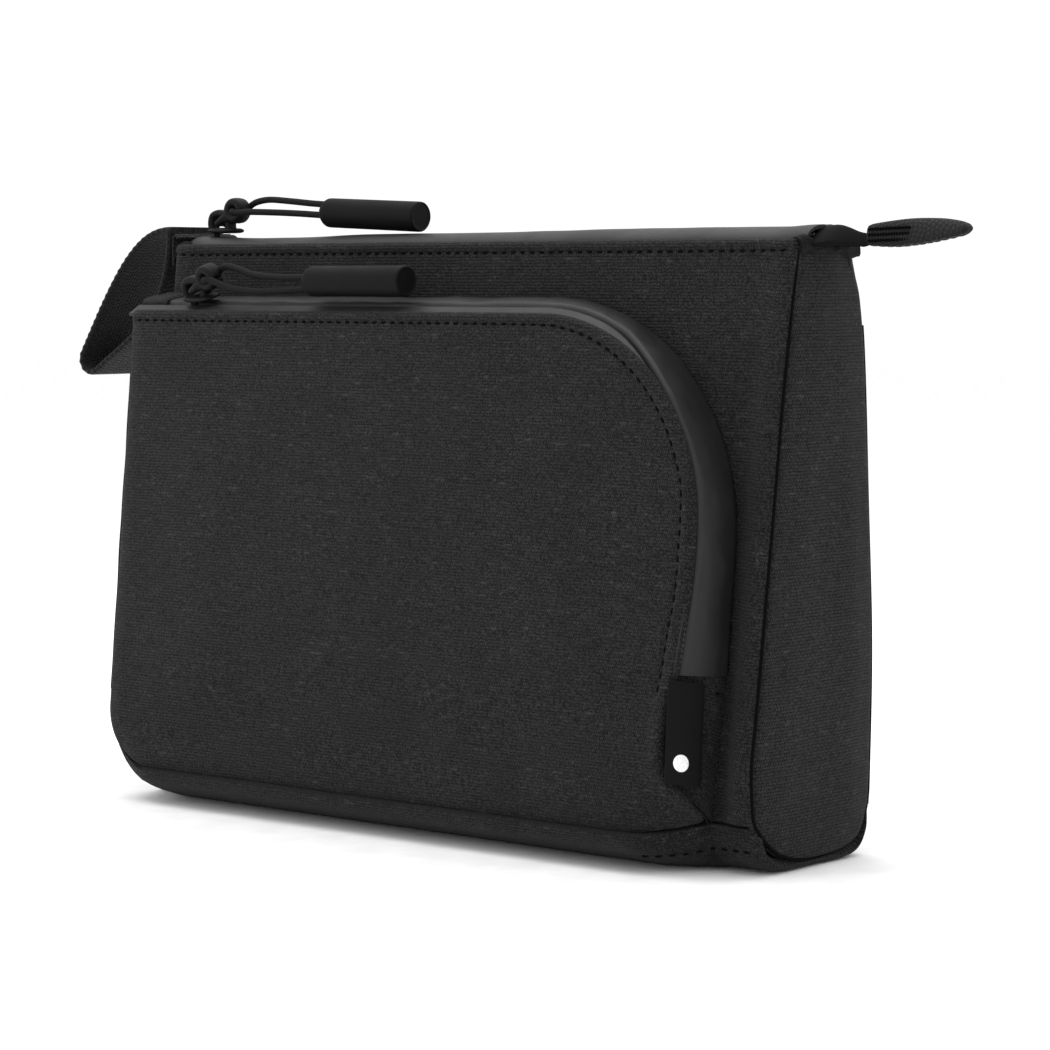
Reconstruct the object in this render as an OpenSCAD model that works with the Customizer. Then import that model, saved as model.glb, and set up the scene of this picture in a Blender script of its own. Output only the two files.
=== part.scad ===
// Cable organizer pouch: a zipped, padded main compartment with a zipped front pocket,
// cord zip pulls, a wrist loop at the left end and a finger tab at the right end.
// Millimetres. +X runs along the top zip, +Y to the back, +Z up, z = 0 is the resting face.

/* [Main compartment] */
// Width of the body from side to side
body_w = 212; // [190:1:230]
// Height of the top edge of the front and back panels
body_h = 152.5; // [140:0.5:165]
// Distance between the outer faces of the two top edges
top_d = 24; // [20:0.5:30]
// How far the front face stands in front of the zip line at the base seam
base_front = 25.5; // [22:0.5:32]
// How far the back face stands behind the zip line at the base seam
base_back = 21.5; // [18:0.5:28]
// Height of the seam between the walls and the base, also the radius of the base's edges
seam_z = 12; // [9:0.5:14]

/* [Front pocket] */
// Thickness of the pocket in front of the body's front face
pocket_d = 16; // [12:0.5:22]
// Radius of the pocket's upper right corner, at the body
corner_r_body = 60; // [45:1:65]
// Radius of the same corner, at the pocket's front face
corner_r_face = 52; // [40:1:60]
// Height of the pocket's top edge at the body, above the base seam
pocket_top_body = 126.5; // [110:0.5:130]
// Height of the pocket's top edge at its front face, above the base seam
pocket_top_face = 121.5; // [105:0.5:126]
// Place of the pocket's right edge, at the body
pocket_right = 94; // [80:1:96]
// Depth of the pocket zip's slit, from the body's front face
slit_d = 10.4; // [8:0.2:11]

/* [Fabric layers] */
// Thickness of the outer fabric
skin = 1.2; // [0.8:0.1:1.6]
// Thickness of the foam in the walls
foam = 2; // [1:0.1:3]
// Thickness of the lining
lining = 0.6; // [0.4:0.1:0.8]

/* [Zips and pulls] */
// Travel of the top zip's slider
main_slider_x = -98; // [-98:1:-90]
// Rest place of the pocket zip's slider
pocket_slider_x = -83; // [-88:0.5:-80]
// Diameter of a pull's moulded grip
grip_dia = 8; // [6:0.5:9]
// Length of a pull's moulded grip
grip_len = 35; // [25:1:38]
// Diameter of a pull's cord
cord_dia = 2; // [1.5:0.1:2.2]
// Distance from a link's upper eye to its grip
cord_reach = 33; // [28:1:36]
pocket_cord_reach = 35.5; // [28:0.5:38]

/* [Wrist loop and finger tab] */
// Width of the wrist loop's webbing
webbing_w = 25; // [20:1:25]
// Thickness of the webbing
webbing_t = 1.6; // [1.2:0.1:1.8]
// Length of the finger tab at the right end of the top zip
tab_len = 29; // [20:1:34]
// Thickness of the finger tab
tab_w = 5; // [4:0.5:8]

/* [Hidden] */

// Walls, seen from the side
wall = skin + foam + lining;
gusset_foam = 1.2;
gusset_wall = skin + gusset_foam + lining;
half_w = body_w / 2;
inner_w = half_w - gusset_wall;
rise = body_h - seam_z;
lean_front = atan((base_front - top_d / 2) / rise);
lean_back = atan((base_back - top_d / 2) / rise);
front_len = rise / cos(lean_front);
back_len = rise / cos(lean_back);
base_clear = 0.5;
wall_foot = -(seam_z - wall - base_clear);
gusset_top = body_h - 4.5;
binding_top = gusset_top + 2.3;
binding_drop = 6;
binding_t = 1;
pocket_face = base_front + pocket_d / cos(lean_front);

// The top zip
slit = 0.6;
ridge_z = body_h + 2.3;
tape_t = 0.9;
tape_edge = top_d / 2 - wall - 0.15;
tape_drop = 2.1;
coil_r = 1;
coil_y = slit + coil_r + 0.05;
coil_z = ridge_z - 2.6;

// The pocket zip's band: centres of its corner, at the body and at the pocket's face
body_centre = [pocket_right - corner_r_body, pocket_top_body - corner_r_body];
face_centre = [pocket_right - 2 - corner_r_face, pocket_top_face - corner_r_face];
zip_end = 35.5;
face_tuck = 3;
band_bulge = 1;
band_steps = 10;
slit_half = 0.6;
slit_slant = 1.3;
inner_drop = 0.5;    // the tape on the pocket face's side of the slit lies this much lower
zip_room = 6;
panel_right = pocket_right - 6;
corner_cut = 14;
corner_t = 1.5;
toe_r = 15;
pocket_foot = -pocket_d * sin(lean_front);

// Zip slider and link
slider_len = 10;
slider_w = 8;
plate_t = 1.2;
plate_gap = 0.7;
bar_r = 0.8;
link_len = 7.2;
link_half = 2.1;
eye_r = cord_dia / 2 + 0.3;
eye_rim = 2.6;
pivot_back = 2;
pivot_up = 1.5;
link_angle = 30;
bend_r = 1.8;
grip_hole = 6;

main_plate_z = ridge_z + plate_gap;
main_pivot = [main_slider_x - pivot_back, 0, main_plate_z + plate_t + pivot_up];
main_drop = 0.3;
main_slope = 3.4;
pocket_drop = 1.7;
pocket_slope = 0;
slit_top = pocket_top_body + (pocket_top_face - pocket_top_body) * slit_d / pocket_d
    + band_bulge * sin(180 * slit_d / pocket_d);

// The wrist loop's line, from the anchor round the far fold and back
anchor_x = -half_w - 1;
anchor_t = 0.9;
loop_z = body_h + 3.9;
fold_r = 3.7;
upper_leg = [[anchor_x - 1.5, loop_z], [-122, 157.5], [-131, 144], [-144.9, 121.8]];
lower_leg = [[-139.6, 116.8], [-126.5, 126], [-109.5, 131], [-109.2, loop_z - 1]];
fold_centre = [-141.75, 119.84];
fold_from = 148;
fold_to = 305;

tail_from = half_w + 1.5;
tab_from = half_w + 11;
tab_bottom = body_h - 2.6;
tail_z = body_h + 0.3;

black = [0.10, 0.10, 0.105];
cloth = [0.16, 0.16, 0.165];
trim = [0.07, 0.07, 0.075];
padding = [0.75, 0.75, 0.72];
inside = [0.30, 0.31, 0.33];
metal = [0.12, 0.12, 0.13];

function mix(a, b, t) = a + (b - a) * t;
function bezier(p, t) = p[0] * pow(1 - t, 3) + p[1] * 3 * t * pow(1 - t, 2)
    + p[2] * 3 * t * t * (1 - t) + p[3] * pow(t, 3);
function arc(c, r, from, to, n) =
    [for (i = [0:n]) c + r * [cos(mix(from, to, i / n)), sin(mix(from, to, i / n))]];
function unit(v) = v / norm(v);
function reversed(v) = [for (i = [len(v) - 1:-1:0]) v[i]];

// Side outline of the body, inset from its outer face, up to a height, as [y, z] points
function side_outline(inset, top, fy = base_front) = concat(
    [[-fy + inset + (top - seam_z) * tan(lean_front), top]],
    arc([-fy + seam_z, seam_z], seam_z - inset, 180, 270, 8),
    arc([base_back - seam_z, seam_z], seam_z - inset, 270, 360, 8),
    [[base_back - inset - (top - seam_z) * tan(lean_back), top]]);

// Section of one layer of the base, between two insets
function base_section(from, to, fy) = concat(
    arc([-fy + seam_z, seam_z], seam_z - from, 180, 270, 8),
    arc([base_back - seam_z, seam_z], seam_z - from, 270, 360, 8),
    arc([base_back - seam_z, seam_z], seam_z - to, 360, 270, 8),
    arc([-fy + seam_z, seam_z], seam_z - to, 270, 180, 8));

// Stations along the pocket's zip band: [point at the body, point at the face, outward angle]
function top_station(x) = let (t = (x + inner_w) / (body_centre[0] + inner_w))
    [[x, pocket_top_body], [mix(-inner_w, face_centre[0], t), pocket_top_face], 90];
function corner_station(a) = [body_centre + corner_r_body * [cos(a), sin(a)],
    face_centre + corner_r_face * [cos(a), sin(a)], a];
function side_station(t) = [[pocket_right, mix(body_centre[1], zip_end, t)],
    [pocket_right - 2 - face_tuck * t * t, mix(face_centre[1], zip_end, t)], 0];
band_stations = concat(
    [for (i = [0:3]) top_station(mix(-inner_w + 0.2, body_centre[0], i / 4))],
    [for (i = [0:band_steps]) corner_station(90 - 90 * i / band_steps)],
    [for (i = [1:3]) side_station(i / 3)]);
function band_at(s, d, sink) = let (t = d / pocket_d,
    p = mix(s[0], s[1], t) + (band_bulge * sin(180 * t) - sink) * [cos(s[2]), sin(s[2])])
    [p[0], -d, p[1]];
function band_ring(s, d1, d2, from, to) = concat(
    [for (i = [0:3]) band_at(s, mix(d1, d2, i / 3), from)],
    [for (i = [3:-1:0]) band_at(s, mix(d1, d2, i / 3), to)]);

// Joins a row of rings of points into one closed solid
module skin_rings(rings) {
    n = len(rings[0]);
    m = len(rings);
    sides = [for (i = [0:m - 2], j = [0:n - 1], k = [0, 1]) let (a = i * n + j,
        b = i * n + (j + 1) % n, c = b + n, d = a + n) k == 0 ? [a, b, c] : [a, c, d]];
    first = [for (j = [n - 1:-1:0]) j];
    last = [for (j = [0:n - 1]) (m - 1) * n + j];
    polyhedron([for (r = rings) each r], concat(sides, [first, last]), convexity = 6);
}

// A round cord along a list of points that never runs straight up
module cord_along(points, r, sides = 8) {
    m = len(points);
    rings = [for (i = [0:m - 1]) let (t = unit(points[min(i + 1, m - 1)] - points[max(i - 1, 0)]),
        u = unit(cross([0, 0, 1], t)), v = cross(t, u))
        [for (k = [0:sides - 1]) points[i] + r * (u * cos(360 * k / sides) - v * sin(360 * k / sides))]];
    skin_rings(rings);
}

// Places a [y, z] outline in the side view and gives it a span in x
module across(from, to) {
    translate([from, 0, 0]) rotate([90, 0, 90]) linear_extrude(to - from) children();
}

// Places an [x, z] outline in the front view and gives it a width in y
module along_y(width) {
    translate([0, width / 2, 0]) rotate([90, 0, 0]) linear_extrude(width) children();
}

module front_frame() {
    translate([0, -base_front, seam_z]) rotate([-lean_front, 0, 0]) children();
}

// A layer of the front wall: an [x, height] outline between two depths below the outer face
module front_layer(from, to) {
    front_frame() translate([0, to, 0]) rotate([90, 0, 0]) linear_extrude(to - from) children();
}

module back_frame() {
    translate([0, base_back, seam_z]) rotate([lean_back, 0, 0]) children();
}

module back_layer(from, to) {
    back_frame() translate([0, -from, 0]) rotate([90, 0, 0]) linear_extrude(to - from) children();
}

// The front wall's outline: it runs down behind the pocket to the base
module front_outline(top) {
    polygon([[-inner_w, wall_foot], [pocket_right, wall_foot], [pocket_right, base_clear],
        [inner_w, base_clear], [inner_w, top], [-inner_w, top]]);
}

module back_outline(foot, top) {
    polygon([[-inner_w, foot], [inner_w, foot], [inner_w, top], [-inner_w, top]]);
}

// The pocket's face: round at the zip's corner, cut off at the lower right, round at the lower left
module pocket_outline(inset, foot) {
    r = corner_r_face - inset;
    toe = toe_r - gusset_wall - 0.4;
    low = pocket_foot + foot;
    polygon(concat(
        arc([-half_w + toe_r, toe_r - seam_z], toe, 180, 180 + asin((toe_r - seam_z - low) / toe), 4),
        [[panel_right - corner_cut, low], [panel_right, corner_cut + low],
            [panel_right, zip_end - 8], [pocket_right - 2 - face_tuck - inset, zip_end]],
        arc(face_centre, r, 0, 90, band_steps),
        [[-inner_w + 0.4, pocket_top_face - inset]]));
}

module band(d1, d2, from, to, stations = band_stations) {
    front_frame() skin_rings([for (s = stations) band_ring(s, d1, d2, from, to)]);
}

// The line where the pocket's lower right corner folds back, seen from above, moved inwards
function corner_line(in) = let (a = [panel_right - corner_cut + corner_t, -pocket_face],
    c = [pocket_right, -base_front], n = unit([a[1] - c[1], c[0] - a[0]]))
    [a + in * n, c + in * n];

// Space from the body's front face out to the pocket's outer surface, from the side
function pocket_side(top) = concat([[-base_front - 0.05 - seam_z * tan(lean_front), 0]],
    arc([-pocket_face + seam_z, seam_z], seam_z, 270, 180, 8),
    top == 0 ? [[-base_front - 0.05, seam_z]] : [
        [-pocket_face + (top - seam_z) * tan(lean_front), top],
        [-base_front - 0.05 + (top + 5 - seam_z) * tan(lean_front), top + 5],
        [-base_front - 0.05, seam_z]]);

// What the pocket's rounded left corner and folded right corner take off a layer of the base
module toe_cutter() {
    translate([0, -base_front - 50, 0]) along_y(100) difference() {
        translate([-half_w - 1, -1]) square([toe_r + 1, toe_r + 1]);
        translate([-half_w + toe_r, toe_r]) circle(toe_r - gusset_wall, $fn = 96);
    }
    line = corner_line(corner_t + 0.1);
    dir = unit(line[1] - line[0]);
    translate([0, 0, -1]) linear_extrude(seam_z + 2)
        polygon([line[0] - 20 * dir, [pocket_right + 20, -pocket_face - 20],
            [pocket_right + 20, -base_front - 0.05], [line[1][0] + 2, -base_front - 0.05],
            line[1] - 1.8 * dir]);
}

module base_layer(from, to) {
    difference() {
        across(-inner_w, pocket_right - 0.1) polygon(base_section(from, to, pocket_face));
        toe_cutter();
    }
    across(pocket_right - 0.1, inner_w) polygon(base_section(from, to, base_front));
}

module gusset_layer(side, from, to) {
    mirror([side < 0 ? 1 : 0, 0, 0]) across(half_w - to, half_w - from)
        polygon(side_outline(0, gusset_top));
}

module gusset_binding(side) {
    reach = base_front - (gusset_top - seam_z) * tan(lean_front);
    mirror([side < 0 ? 1 : 0, 0, 0]) along_y(2 * reach)
        polygon([[inner_w, gusset_top], [half_w, gusset_top], [half_w, gusset_top - binding_drop],
            [half_w + binding_t, gusset_top - binding_drop], [half_w + binding_t, binding_top],
            [inner_w, binding_top]]);
}

module front_panel() { color(cloth) front_layer(0, skin) front_outline(front_len); }
module front_foam() { color(padding) front_layer(skin, skin + foam) front_outline(front_len - 3); }
module front_lining() { color(inside) front_layer(skin + foam, wall) front_outline(front_len - 1); }
module back_panel() { color(cloth) back_layer(0, skin) back_outline(0.4, back_len); }
module back_foam() { color(padding) back_layer(skin, skin + foam) back_outline(1, back_len - 3); }
module back_lining() { color(inside) back_layer(skin + foam, wall) back_outline(1, back_len - 1); }
module base_panel() { color(cloth) base_layer(0, skin); }
module base_foam() { color(padding) base_layer(skin, skin + foam); }
module base_lining() { color(inside) base_layer(skin + foam, wall); }
module left_gusset() { color(cloth) gusset_layer(-1, 0, skin); }
module left_gusset_foam() { color(padding) gusset_layer(-1, skin, skin + gusset_foam); }
module left_gusset_lining() { color(inside) gusset_layer(-1, skin + gusset_foam, gusset_wall); }
module left_gusset_binding() { color(trim) gusset_binding(-1); }
module right_gusset() { color(cloth) gusset_layer(1, 0, skin); }
module right_gusset_foam() { color(padding) gusset_layer(1, skin, skin + gusset_foam); }
module right_gusset_lining() { color(inside) gusset_layer(1, skin + gusset_foam, gusset_wall); }
module right_gusset_binding() { color(trim) gusset_binding(1); }

// One half of the top zip's tape, sloping up to the slit
module main_tape(side) {
    color(black) mirror([0, side > 0 ? 0 : 1, 0]) across(-half_w, half_w)
        polygon([[slit, ridge_z], [tape_edge, ridge_z - tape_drop],
            [tape_edge, ridge_z - tape_drop - tape_t], [slit, ridge_z - tape_t]]);
}

module main_coil(side) {
    color(trim) translate([-half_w, side * coil_y, coil_z]) rotate([0, 90, 0])
        cylinder(h = body_w, r = coil_r, $fn = 32);
}

module main_tape_front() { main_tape(-1); }
module main_tape_back() { main_tape(1); }
module main_coil_front() { main_coil(-1); }
module main_coil_back() { main_coil(1); }

// Slider at the origin: the upper plate's underside is at z = 0, the wide end looks to -x
module slider() {
    drop = ridge_z + plate_gap - (coil_z - coil_r - 0.3);
    window = [[-4.7, plate_t], [-3.5, plate_t], [-3.5, plate_t + 2.6], [0.5, plate_t + 2.6],
        [0.5, plate_t], [1.7, plate_t], [1.7, plate_t + 3.1], [1.1, plate_t + 3.8],
        [-4.1, plate_t + 3.8], [-4.7, plate_t + 3.1]];
    color(metal) {
        for (z = [0, -drop - plate_t]) translate([0, 0, z]) linear_extrude(plate_t)
            polygon([[-slider_len / 2, 3], [-3.4, slider_w / 2], [0, slider_w / 2],
                [slider_len / 2, 3], [slider_len / 2, -3], [0, -slider_w / 2],
                [-3.4, -slider_w / 2], [-slider_len / 2, -3]]);
        translate([-slider_len / 2 + 0.4, -0.5, -drop - 0.1]) cube([2.4, 1, drop + 0.2]);
        along_y(2) polygon(window);
    }
}

// Link at its own pivot, standing at an angle above +x, with a round bar and a round eye
module link(angle) {
    color(metal) rotate([0, -angle, 0]) {
        rotate([90, 0, 0]) cylinder(h = 2 * link_half, r = bar_r, center = true, $fn = 32);
        for (side = [-1, 1]) translate([0, side * (link_half - 0.4), 0])
            rotate([90, 0, 0]) linear_extrude(0.8, center = true)
                polygon([[-1.1, -1], [link_len - 2, -1.5], [link_len - 2, 1.5], [-1.1, 1]]);
        difference() {
            translate([link_len, 0, 0]) rotate([90, 0, 0])
                cylinder(h = 2 * link_half, r = eye_rim, center = true, $fn = 48);
            translate([link_len, 0, 0]) rotate([90, 0, 0])
                cylinder(h = 3 * link_half, r = eye_r, center = true, $fn = 48);
        }
    }
}

// Half of a pull's cord, from the eye's middle to inside the grip
function cord_half(side, drop, reach) = let (y0 = link_half + cord_dia / 2 + 0.3)
    concat([[0, 0, 0]], [for (a = [0:22.5:90]) [bend_r - bend_r * cos(a),
            side * (y0 - bend_r + bend_r * sin(a)), 0]],
        [for (t = [0.25:0.25:1]) [mix(bend_r, reach, t), side * mix(y0, 1.5, pow(t, 0.6)),
            -drop * pow(t, 1.3) - side * 0.9 * sin(90 * t)]],
        [[reach + grip_hole - 0.3, side * 1.5, -drop - side * 0.9]]);

module pull_cord(drop, reach) {
    color(black) cord_along(concat(reversed(cord_half(1, drop, reach)),
        [for (i = [1:len(cord_half(-1, drop, reach)) - 1]) cord_half(-1, drop, reach)[i]]), cord_dia / 2);
}

// Moulded grip, reaching along +x from the end of its cord
module pull_grip(drop, slope, reach) {
    bite = 0.8;
    color(black) difference() {
        translate([reach, 0, -drop]) rotate([0, 90 + slope, 0]) rotate_extrude($fn = 64)
            polygon([[0, 0], [grip_dia / 2 - bite, 0], [grip_dia / 2, bite * 1.5],
                [grip_dia / 2, grip_len - 0.4], [grip_dia / 2 - 0.4, grip_len], [0, grip_len]]);
        for (side = [-1, 1]) translate([reach - 1, side * 1.5, -drop - side * 0.9])
            rotate([0, 90, 0]) cylinder(h = grip_hole + 1, r = cord_dia / 2 + 0.05, $fn = 32);
    }
}

function eye_of(pivot, angle) = pivot + link_len * [cos(angle), 0, sin(angle)];

module main_slider() { translate([main_slider_x, 0, main_plate_z]) slider(); }
module main_link() { translate(main_pivot) link(link_angle); }
module main_cord() { translate(eye_of(main_pivot, link_angle)) pull_cord(main_drop, cord_reach); }
module main_grip() { translate(eye_of(main_pivot, link_angle)) pull_grip(main_drop, main_slope, cord_reach); }

// The pocket's slider and pull stand square to the zip band where its slit runs
pocket_tilt = atan((pocket_top_body - pocket_top_face) / pocket_d
    - band_bulge * PI / pocket_d * cos(180 * slit_d / pocket_d)) - lean_front;
slit_point = [0, -base_front - slit_d * cos(lean_front) + slit_top * sin(lean_front),
    seam_z + slit_top * cos(lean_front) + slit_d * sin(lean_front)];
slider_lift = plate_gap;
pocket_pivot = [-pivot_back, 0, slider_lift + plate_t + pivot_up];

module at_pocket_slider() {
    translate(slit_point + [pocket_slider_x, 0, 0]) rotate([pocket_tilt, 0, 0]) children();
}

module pocket_slider() { at_pocket_slider() translate([0, 0, slider_lift]) slider(); }
module pocket_link() { at_pocket_slider() translate(pocket_pivot) link(link_angle); }
module pocket_cord() { at_pocket_slider() translate(eye_of(pocket_pivot, link_angle)) pull_cord(pocket_drop, pocket_cord_reach); }
module pocket_grip() {
    at_pocket_slider() translate(eye_of(pocket_pivot, link_angle))
        pull_grip(pocket_drop, pocket_slope, pocket_cord_reach);
}

module pocket_panel() { color(cloth) front_layer(-pocket_d, -pocket_d + skin) pocket_outline(tape_t + inner_drop + 0.1, 0.4); }
module pocket_foam() {
    color(padding) front_layer(-pocket_d + skin, -pocket_d + skin + foam) pocket_outline(zip_room, 1.4);
}
module pocket_lining() {
    color(inside) front_layer(-pocket_d + skin + foam, -pocket_d + wall) pocket_outline(zip_room, 1.4);
}

// The pocket's left end, round the lower corner and under it
module pocket_left_gusset() {
    high = seam_z + pocket_top_face * cos(lean_front);
    color(cloth) intersection() {
        across(-half_w - 1, half_w) polygon(pocket_side(high));
        translate([0, -base_front - 10, 0]) along_y(100) polygon(concat(
            [[-half_w, high + 5]], arc([-half_w + toe_r, toe_r], toe_r, 180, 270, 12),
            arc([-half_w + toe_r, toe_r], toe_r - gusset_wall, 270, 180, 12),
            [[-inner_w, high + 5]]));
    }
}

// A point on the pocket's right end, seen from above: t runs from the body to the pocket's face
function end_point(t, out) = let (a = [pocket_right, -0.1], b = [panel_right + corner_t + 0.1, -pocket_d],
    n = unit([a[1] - b[1], b[0] - a[0]])) mix(a, b, t) + out * n;

// The pocket's right end below its zip
module pocket_right_gusset() {
    color(cloth) front_frame() intersection() {
        linear_extrude(zip_end - 0.2)
            polygon([end_point(0, 0), end_point(1, 0), end_point(1, -corner_t), end_point(0, -corner_t)]);
        translate([0, 0, 0]) rotate([90, 0, 90]) linear_extrude(half_w)
            polygon([[-0.1, 0.3], [-0.1, zip_end], [-pocket_d, zip_end], [-pocket_d, corner_cut]]);
    }
}

// The pocket's lower right corner, folded back to the body
module pocket_corner() {
    line = corner_line(0.1);
    top = corner_cut - 0.4;
    a = [line[0][0], -pocket_face, seam_z - 0.4];
    b = [panel_right + 1, -pocket_face + top * sin(lean_front), seam_z + top * cos(lean_front)];
    c = [line[1][0] - 0.2, -base_front - 1.2, seam_z - 0.4];
    in = [-0.9, 0.9, 0.6];
    color(cloth) skin_rings([[a, c, b], [a + in, c + in, b + in]]);
    color(cloth) intersection() {
        across(0, half_w) polygon(pocket_side(0));
        linear_extrude(seam_z)
            polygon([corner_line(0.1)[0], corner_line(0.1)[1], corner_line(corner_t)[1],
                corner_line(corner_t)[0]]);
    }
}

module pocket_tape_outer() { color(black) band(0.1, slit_d - slit_half - slit_slant / 3, 0, tape_t); }
module pocket_tape_inner() { color(black) band(slit_d + slit_half, pocket_d, inner_drop, tape_t + inner_drop); }
module pocket_coil(from, to, drop) { color(trim) band(from, to, tape_t + drop + 0.1, tape_t + drop + 1.8); }
module pocket_coil_outer() { pocket_coil(slit_d - slit_half - slit_slant - 2, slit_d - slit_half - slit_slant, 0); }
module pocket_coil_inner() { pocket_coil(slit_d + slit_half, slit_d + slit_half + 2, inner_drop); }
module pocket_zip_cover() {
    color(cloth) band(3, slit_d - slit_half, -1, -0.05, [top_station(-inner_w + 0.2), top_station(-96)]);
}

// Woven label on the pocket's right end
module label() {
    color(trim) front_frame() translate([0, 0, corner_cut - 4]) linear_extrude(25)
        polygon([end_point(0.2, 0.05), end_point(0.92, 0.05), end_point(0.92, 0.85), end_point(0.2, 0.85)]);
}

// Inside: a mesh slip pocket on the back wall and a row of elastic cable loops on the front wall
module mesh_pocket() {
    color(trim) back_layer(wall + 1.4, wall + 2) polygon([[-88, 4], [88, 4], [88, 84], [-88, 84]]);
    color(trim) for (x = [-88, 86.6]) back_layer(wall, wall + 1.4)
        polygon([[x, 4], [x + 1.4, 4], [x + 1.4, 84], [x, 84]]);
    color(trim) back_layer(wall, wall + 1.4) polygon([[-86.6, 4], [86.6, 4], [86.6, 5.4], [-86.6, 5.4]]);
}

module mesh_pocket_binding() {
    color(black) back_layer(wall + 1, wall + 2.4) polygon([[-88, 84.1], [88, 84.1], [88, 92], [-88, 92]]);
}

module cable_loops() {
    loops = 6;
    pitch = 30;
    sag = 3.4;
    chord = 26;
    r = (chord * chord / 4 + sag * sag) / (2 * sag);
    start = -loops * pitch / 2;
    color(black) front_frame() translate([0, wall, 62]) linear_extrude(22) {
        for (i = [0:loops - 1]) translate([start + (i + 0.5) * pitch, sag - r]) intersection() {
            difference() {
                circle(r, $fn = 96);
                circle(r - 0.8, $fn = 96);
            }
            translate([-pitch / 2, r - sag]) square([pitch, 2 * sag]);
        }
        for (i = [0:loops]) translate([start + i * pitch - 2.6, 0]) square([5.2, 0.8]);
    }
}

// The loop's sewn end, folded down over the left gusset's binding
module wrist_anchor() {
    out = anchor_x - anchor_t - 0.05;
    top = loop_z + webbing_t / 2;
    color(black) along_y(webbing_w) polygon([[out, gusset_top - binding_drop + 4],
        [out + anchor_t, gusset_top - binding_drop + 4], [out + anchor_t, top - webbing_t],
        [-half_w - 0.3, top - webbing_t], [-half_w - 0.3, top], [out, top]]);
}

// The loop's webbing: two legs joined by a tight fold at the far end
module wrist_loop() {
    line = concat([for (i = [0:12]) bezier(upper_leg, i / 12)],
        [for (i = [1:7]) fold_centre + fold_r * [cos(mix(fold_from, fold_to, i / 8)),
            sin(mix(fold_from, fold_to, i / 8))]],
        [for (i = [0:12]) bezier(lower_leg, i / 12)]);
    m = len(line);
    normals = [for (i = [0:m - 1]) let (t = unit(line[min(i + 1, m - 1)] - line[max(i - 1, 0)]))
        [t[1], -t[0]]];
    left = [for (i = [0:m - 1]) line[i] + normals[i] * webbing_t / 2];
    right = [for (i = [m - 1:-1:0]) line[i] - normals[i] * webbing_t / 2];
    color(black) along_y(webbing_w) polygon(concat(left, right));
}

// The top zip's tape where it leaves the body and folds down along its middle
module zip_tail() {
    color(black) skin_rings([for (i = [0:6]) let (t = i / 6, w = mix(7.6, 2, t), drop = mix(1.5, 4.4, t),
        top = tail_z + 1.6 * sin(180 * t) + mix(1.6, 1.2, t))
        [for (p = [[-w, -drop - 0.9], [-w, -drop], [0, 0], [w, -drop], [w, -drop - 0.9], [0, -0.9]])
            [mix(tail_from, tab_from, t), p[0], top + p[1]]]]);
}

// Webbing folded over the end of the tape, its fold on top
module zip_tab() {
    color(black) along_y(tab_w) polygon([[tab_from, tab_bottom], [tab_from + 9, tab_bottom - 0.2],
        [tab_from + 15, tab_bottom + 0.4], [tab_from + 22, tab_bottom + 1.6],
        [tab_from + tab_len - 0.8, tab_bottom + 2.6], [tab_from + tab_len, tab_bottom + 3.6],
        [tab_from + tab_len - 1.4, tab_bottom + 4.7], [tab_from + 24, tab_bottom + 5.1],
        [tab_from + 17, tab_bottom + 5.3], [tab_from + 8, tab_bottom + 4.9],
        [tab_from, tab_bottom + 4.4]]);
}

front_panel();
front_foam();
front_lining();
back_panel();
back_foam();
back_lining();
base_panel();
base_foam();
base_lining();
left_gusset();
left_gusset_foam();
left_gusset_lining();
left_gusset_binding();
right_gusset();
right_gusset_foam();
right_gusset_lining();
right_gusset_binding();
main_tape_front();
main_tape_back();
main_coil_front();
main_coil_back();
main_slider();
main_link();
main_cord();
main_grip();
pocket_panel();
pocket_foam();
pocket_lining();
pocket_left_gusset();
pocket_right_gusset();
pocket_corner();
pocket_tape_outer();
pocket_tape_inner();
pocket_coil_outer();
pocket_coil_inner();
pocket_zip_cover();
pocket_slider();
pocket_link();
pocket_cord();
pocket_grip();
label();
mesh_pocket();
mesh_pocket_binding();
cable_loops();
wrist_anchor();
wrist_loop();
zip_tail();
zip_tab();
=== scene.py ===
"""Looks of the cable organizer pouch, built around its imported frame. Lengths here are millimetres."""

import functools
import math

import bmesh
import bpy
import numpy as np
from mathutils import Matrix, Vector, noise


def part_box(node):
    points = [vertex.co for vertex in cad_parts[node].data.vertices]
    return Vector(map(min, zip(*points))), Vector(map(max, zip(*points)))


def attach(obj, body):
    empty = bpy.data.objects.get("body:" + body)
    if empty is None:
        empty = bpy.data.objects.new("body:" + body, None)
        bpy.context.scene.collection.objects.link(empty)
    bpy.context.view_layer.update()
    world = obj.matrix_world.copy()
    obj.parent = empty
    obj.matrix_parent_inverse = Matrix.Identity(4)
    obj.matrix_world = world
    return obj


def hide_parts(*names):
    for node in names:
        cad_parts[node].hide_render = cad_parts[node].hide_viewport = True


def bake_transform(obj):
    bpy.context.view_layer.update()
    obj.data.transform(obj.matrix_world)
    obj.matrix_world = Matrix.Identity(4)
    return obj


MM = 0.001
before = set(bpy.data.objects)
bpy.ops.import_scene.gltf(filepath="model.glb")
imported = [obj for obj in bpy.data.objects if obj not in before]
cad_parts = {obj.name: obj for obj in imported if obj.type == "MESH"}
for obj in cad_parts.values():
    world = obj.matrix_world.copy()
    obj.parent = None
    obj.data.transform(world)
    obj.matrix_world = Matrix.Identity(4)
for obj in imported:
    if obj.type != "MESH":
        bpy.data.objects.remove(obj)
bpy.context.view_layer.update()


def cad_corners(node):
    """Lowest and highest corner of a CAD node, in millimetres"""
    low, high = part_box(node)
    return np.array(low) / MM, np.array(high) / MM


# Driving sizes, read from the frame
HALF_W = cad_corners("right_gusset")[1][0]
SLIDER_LOW, SLIDER_HIGH = cad_corners("main_slider")
POCKET_SLIDER_LOW, POCKET_SLIDER_HIGH = cad_corners("pocket_slider")

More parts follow.
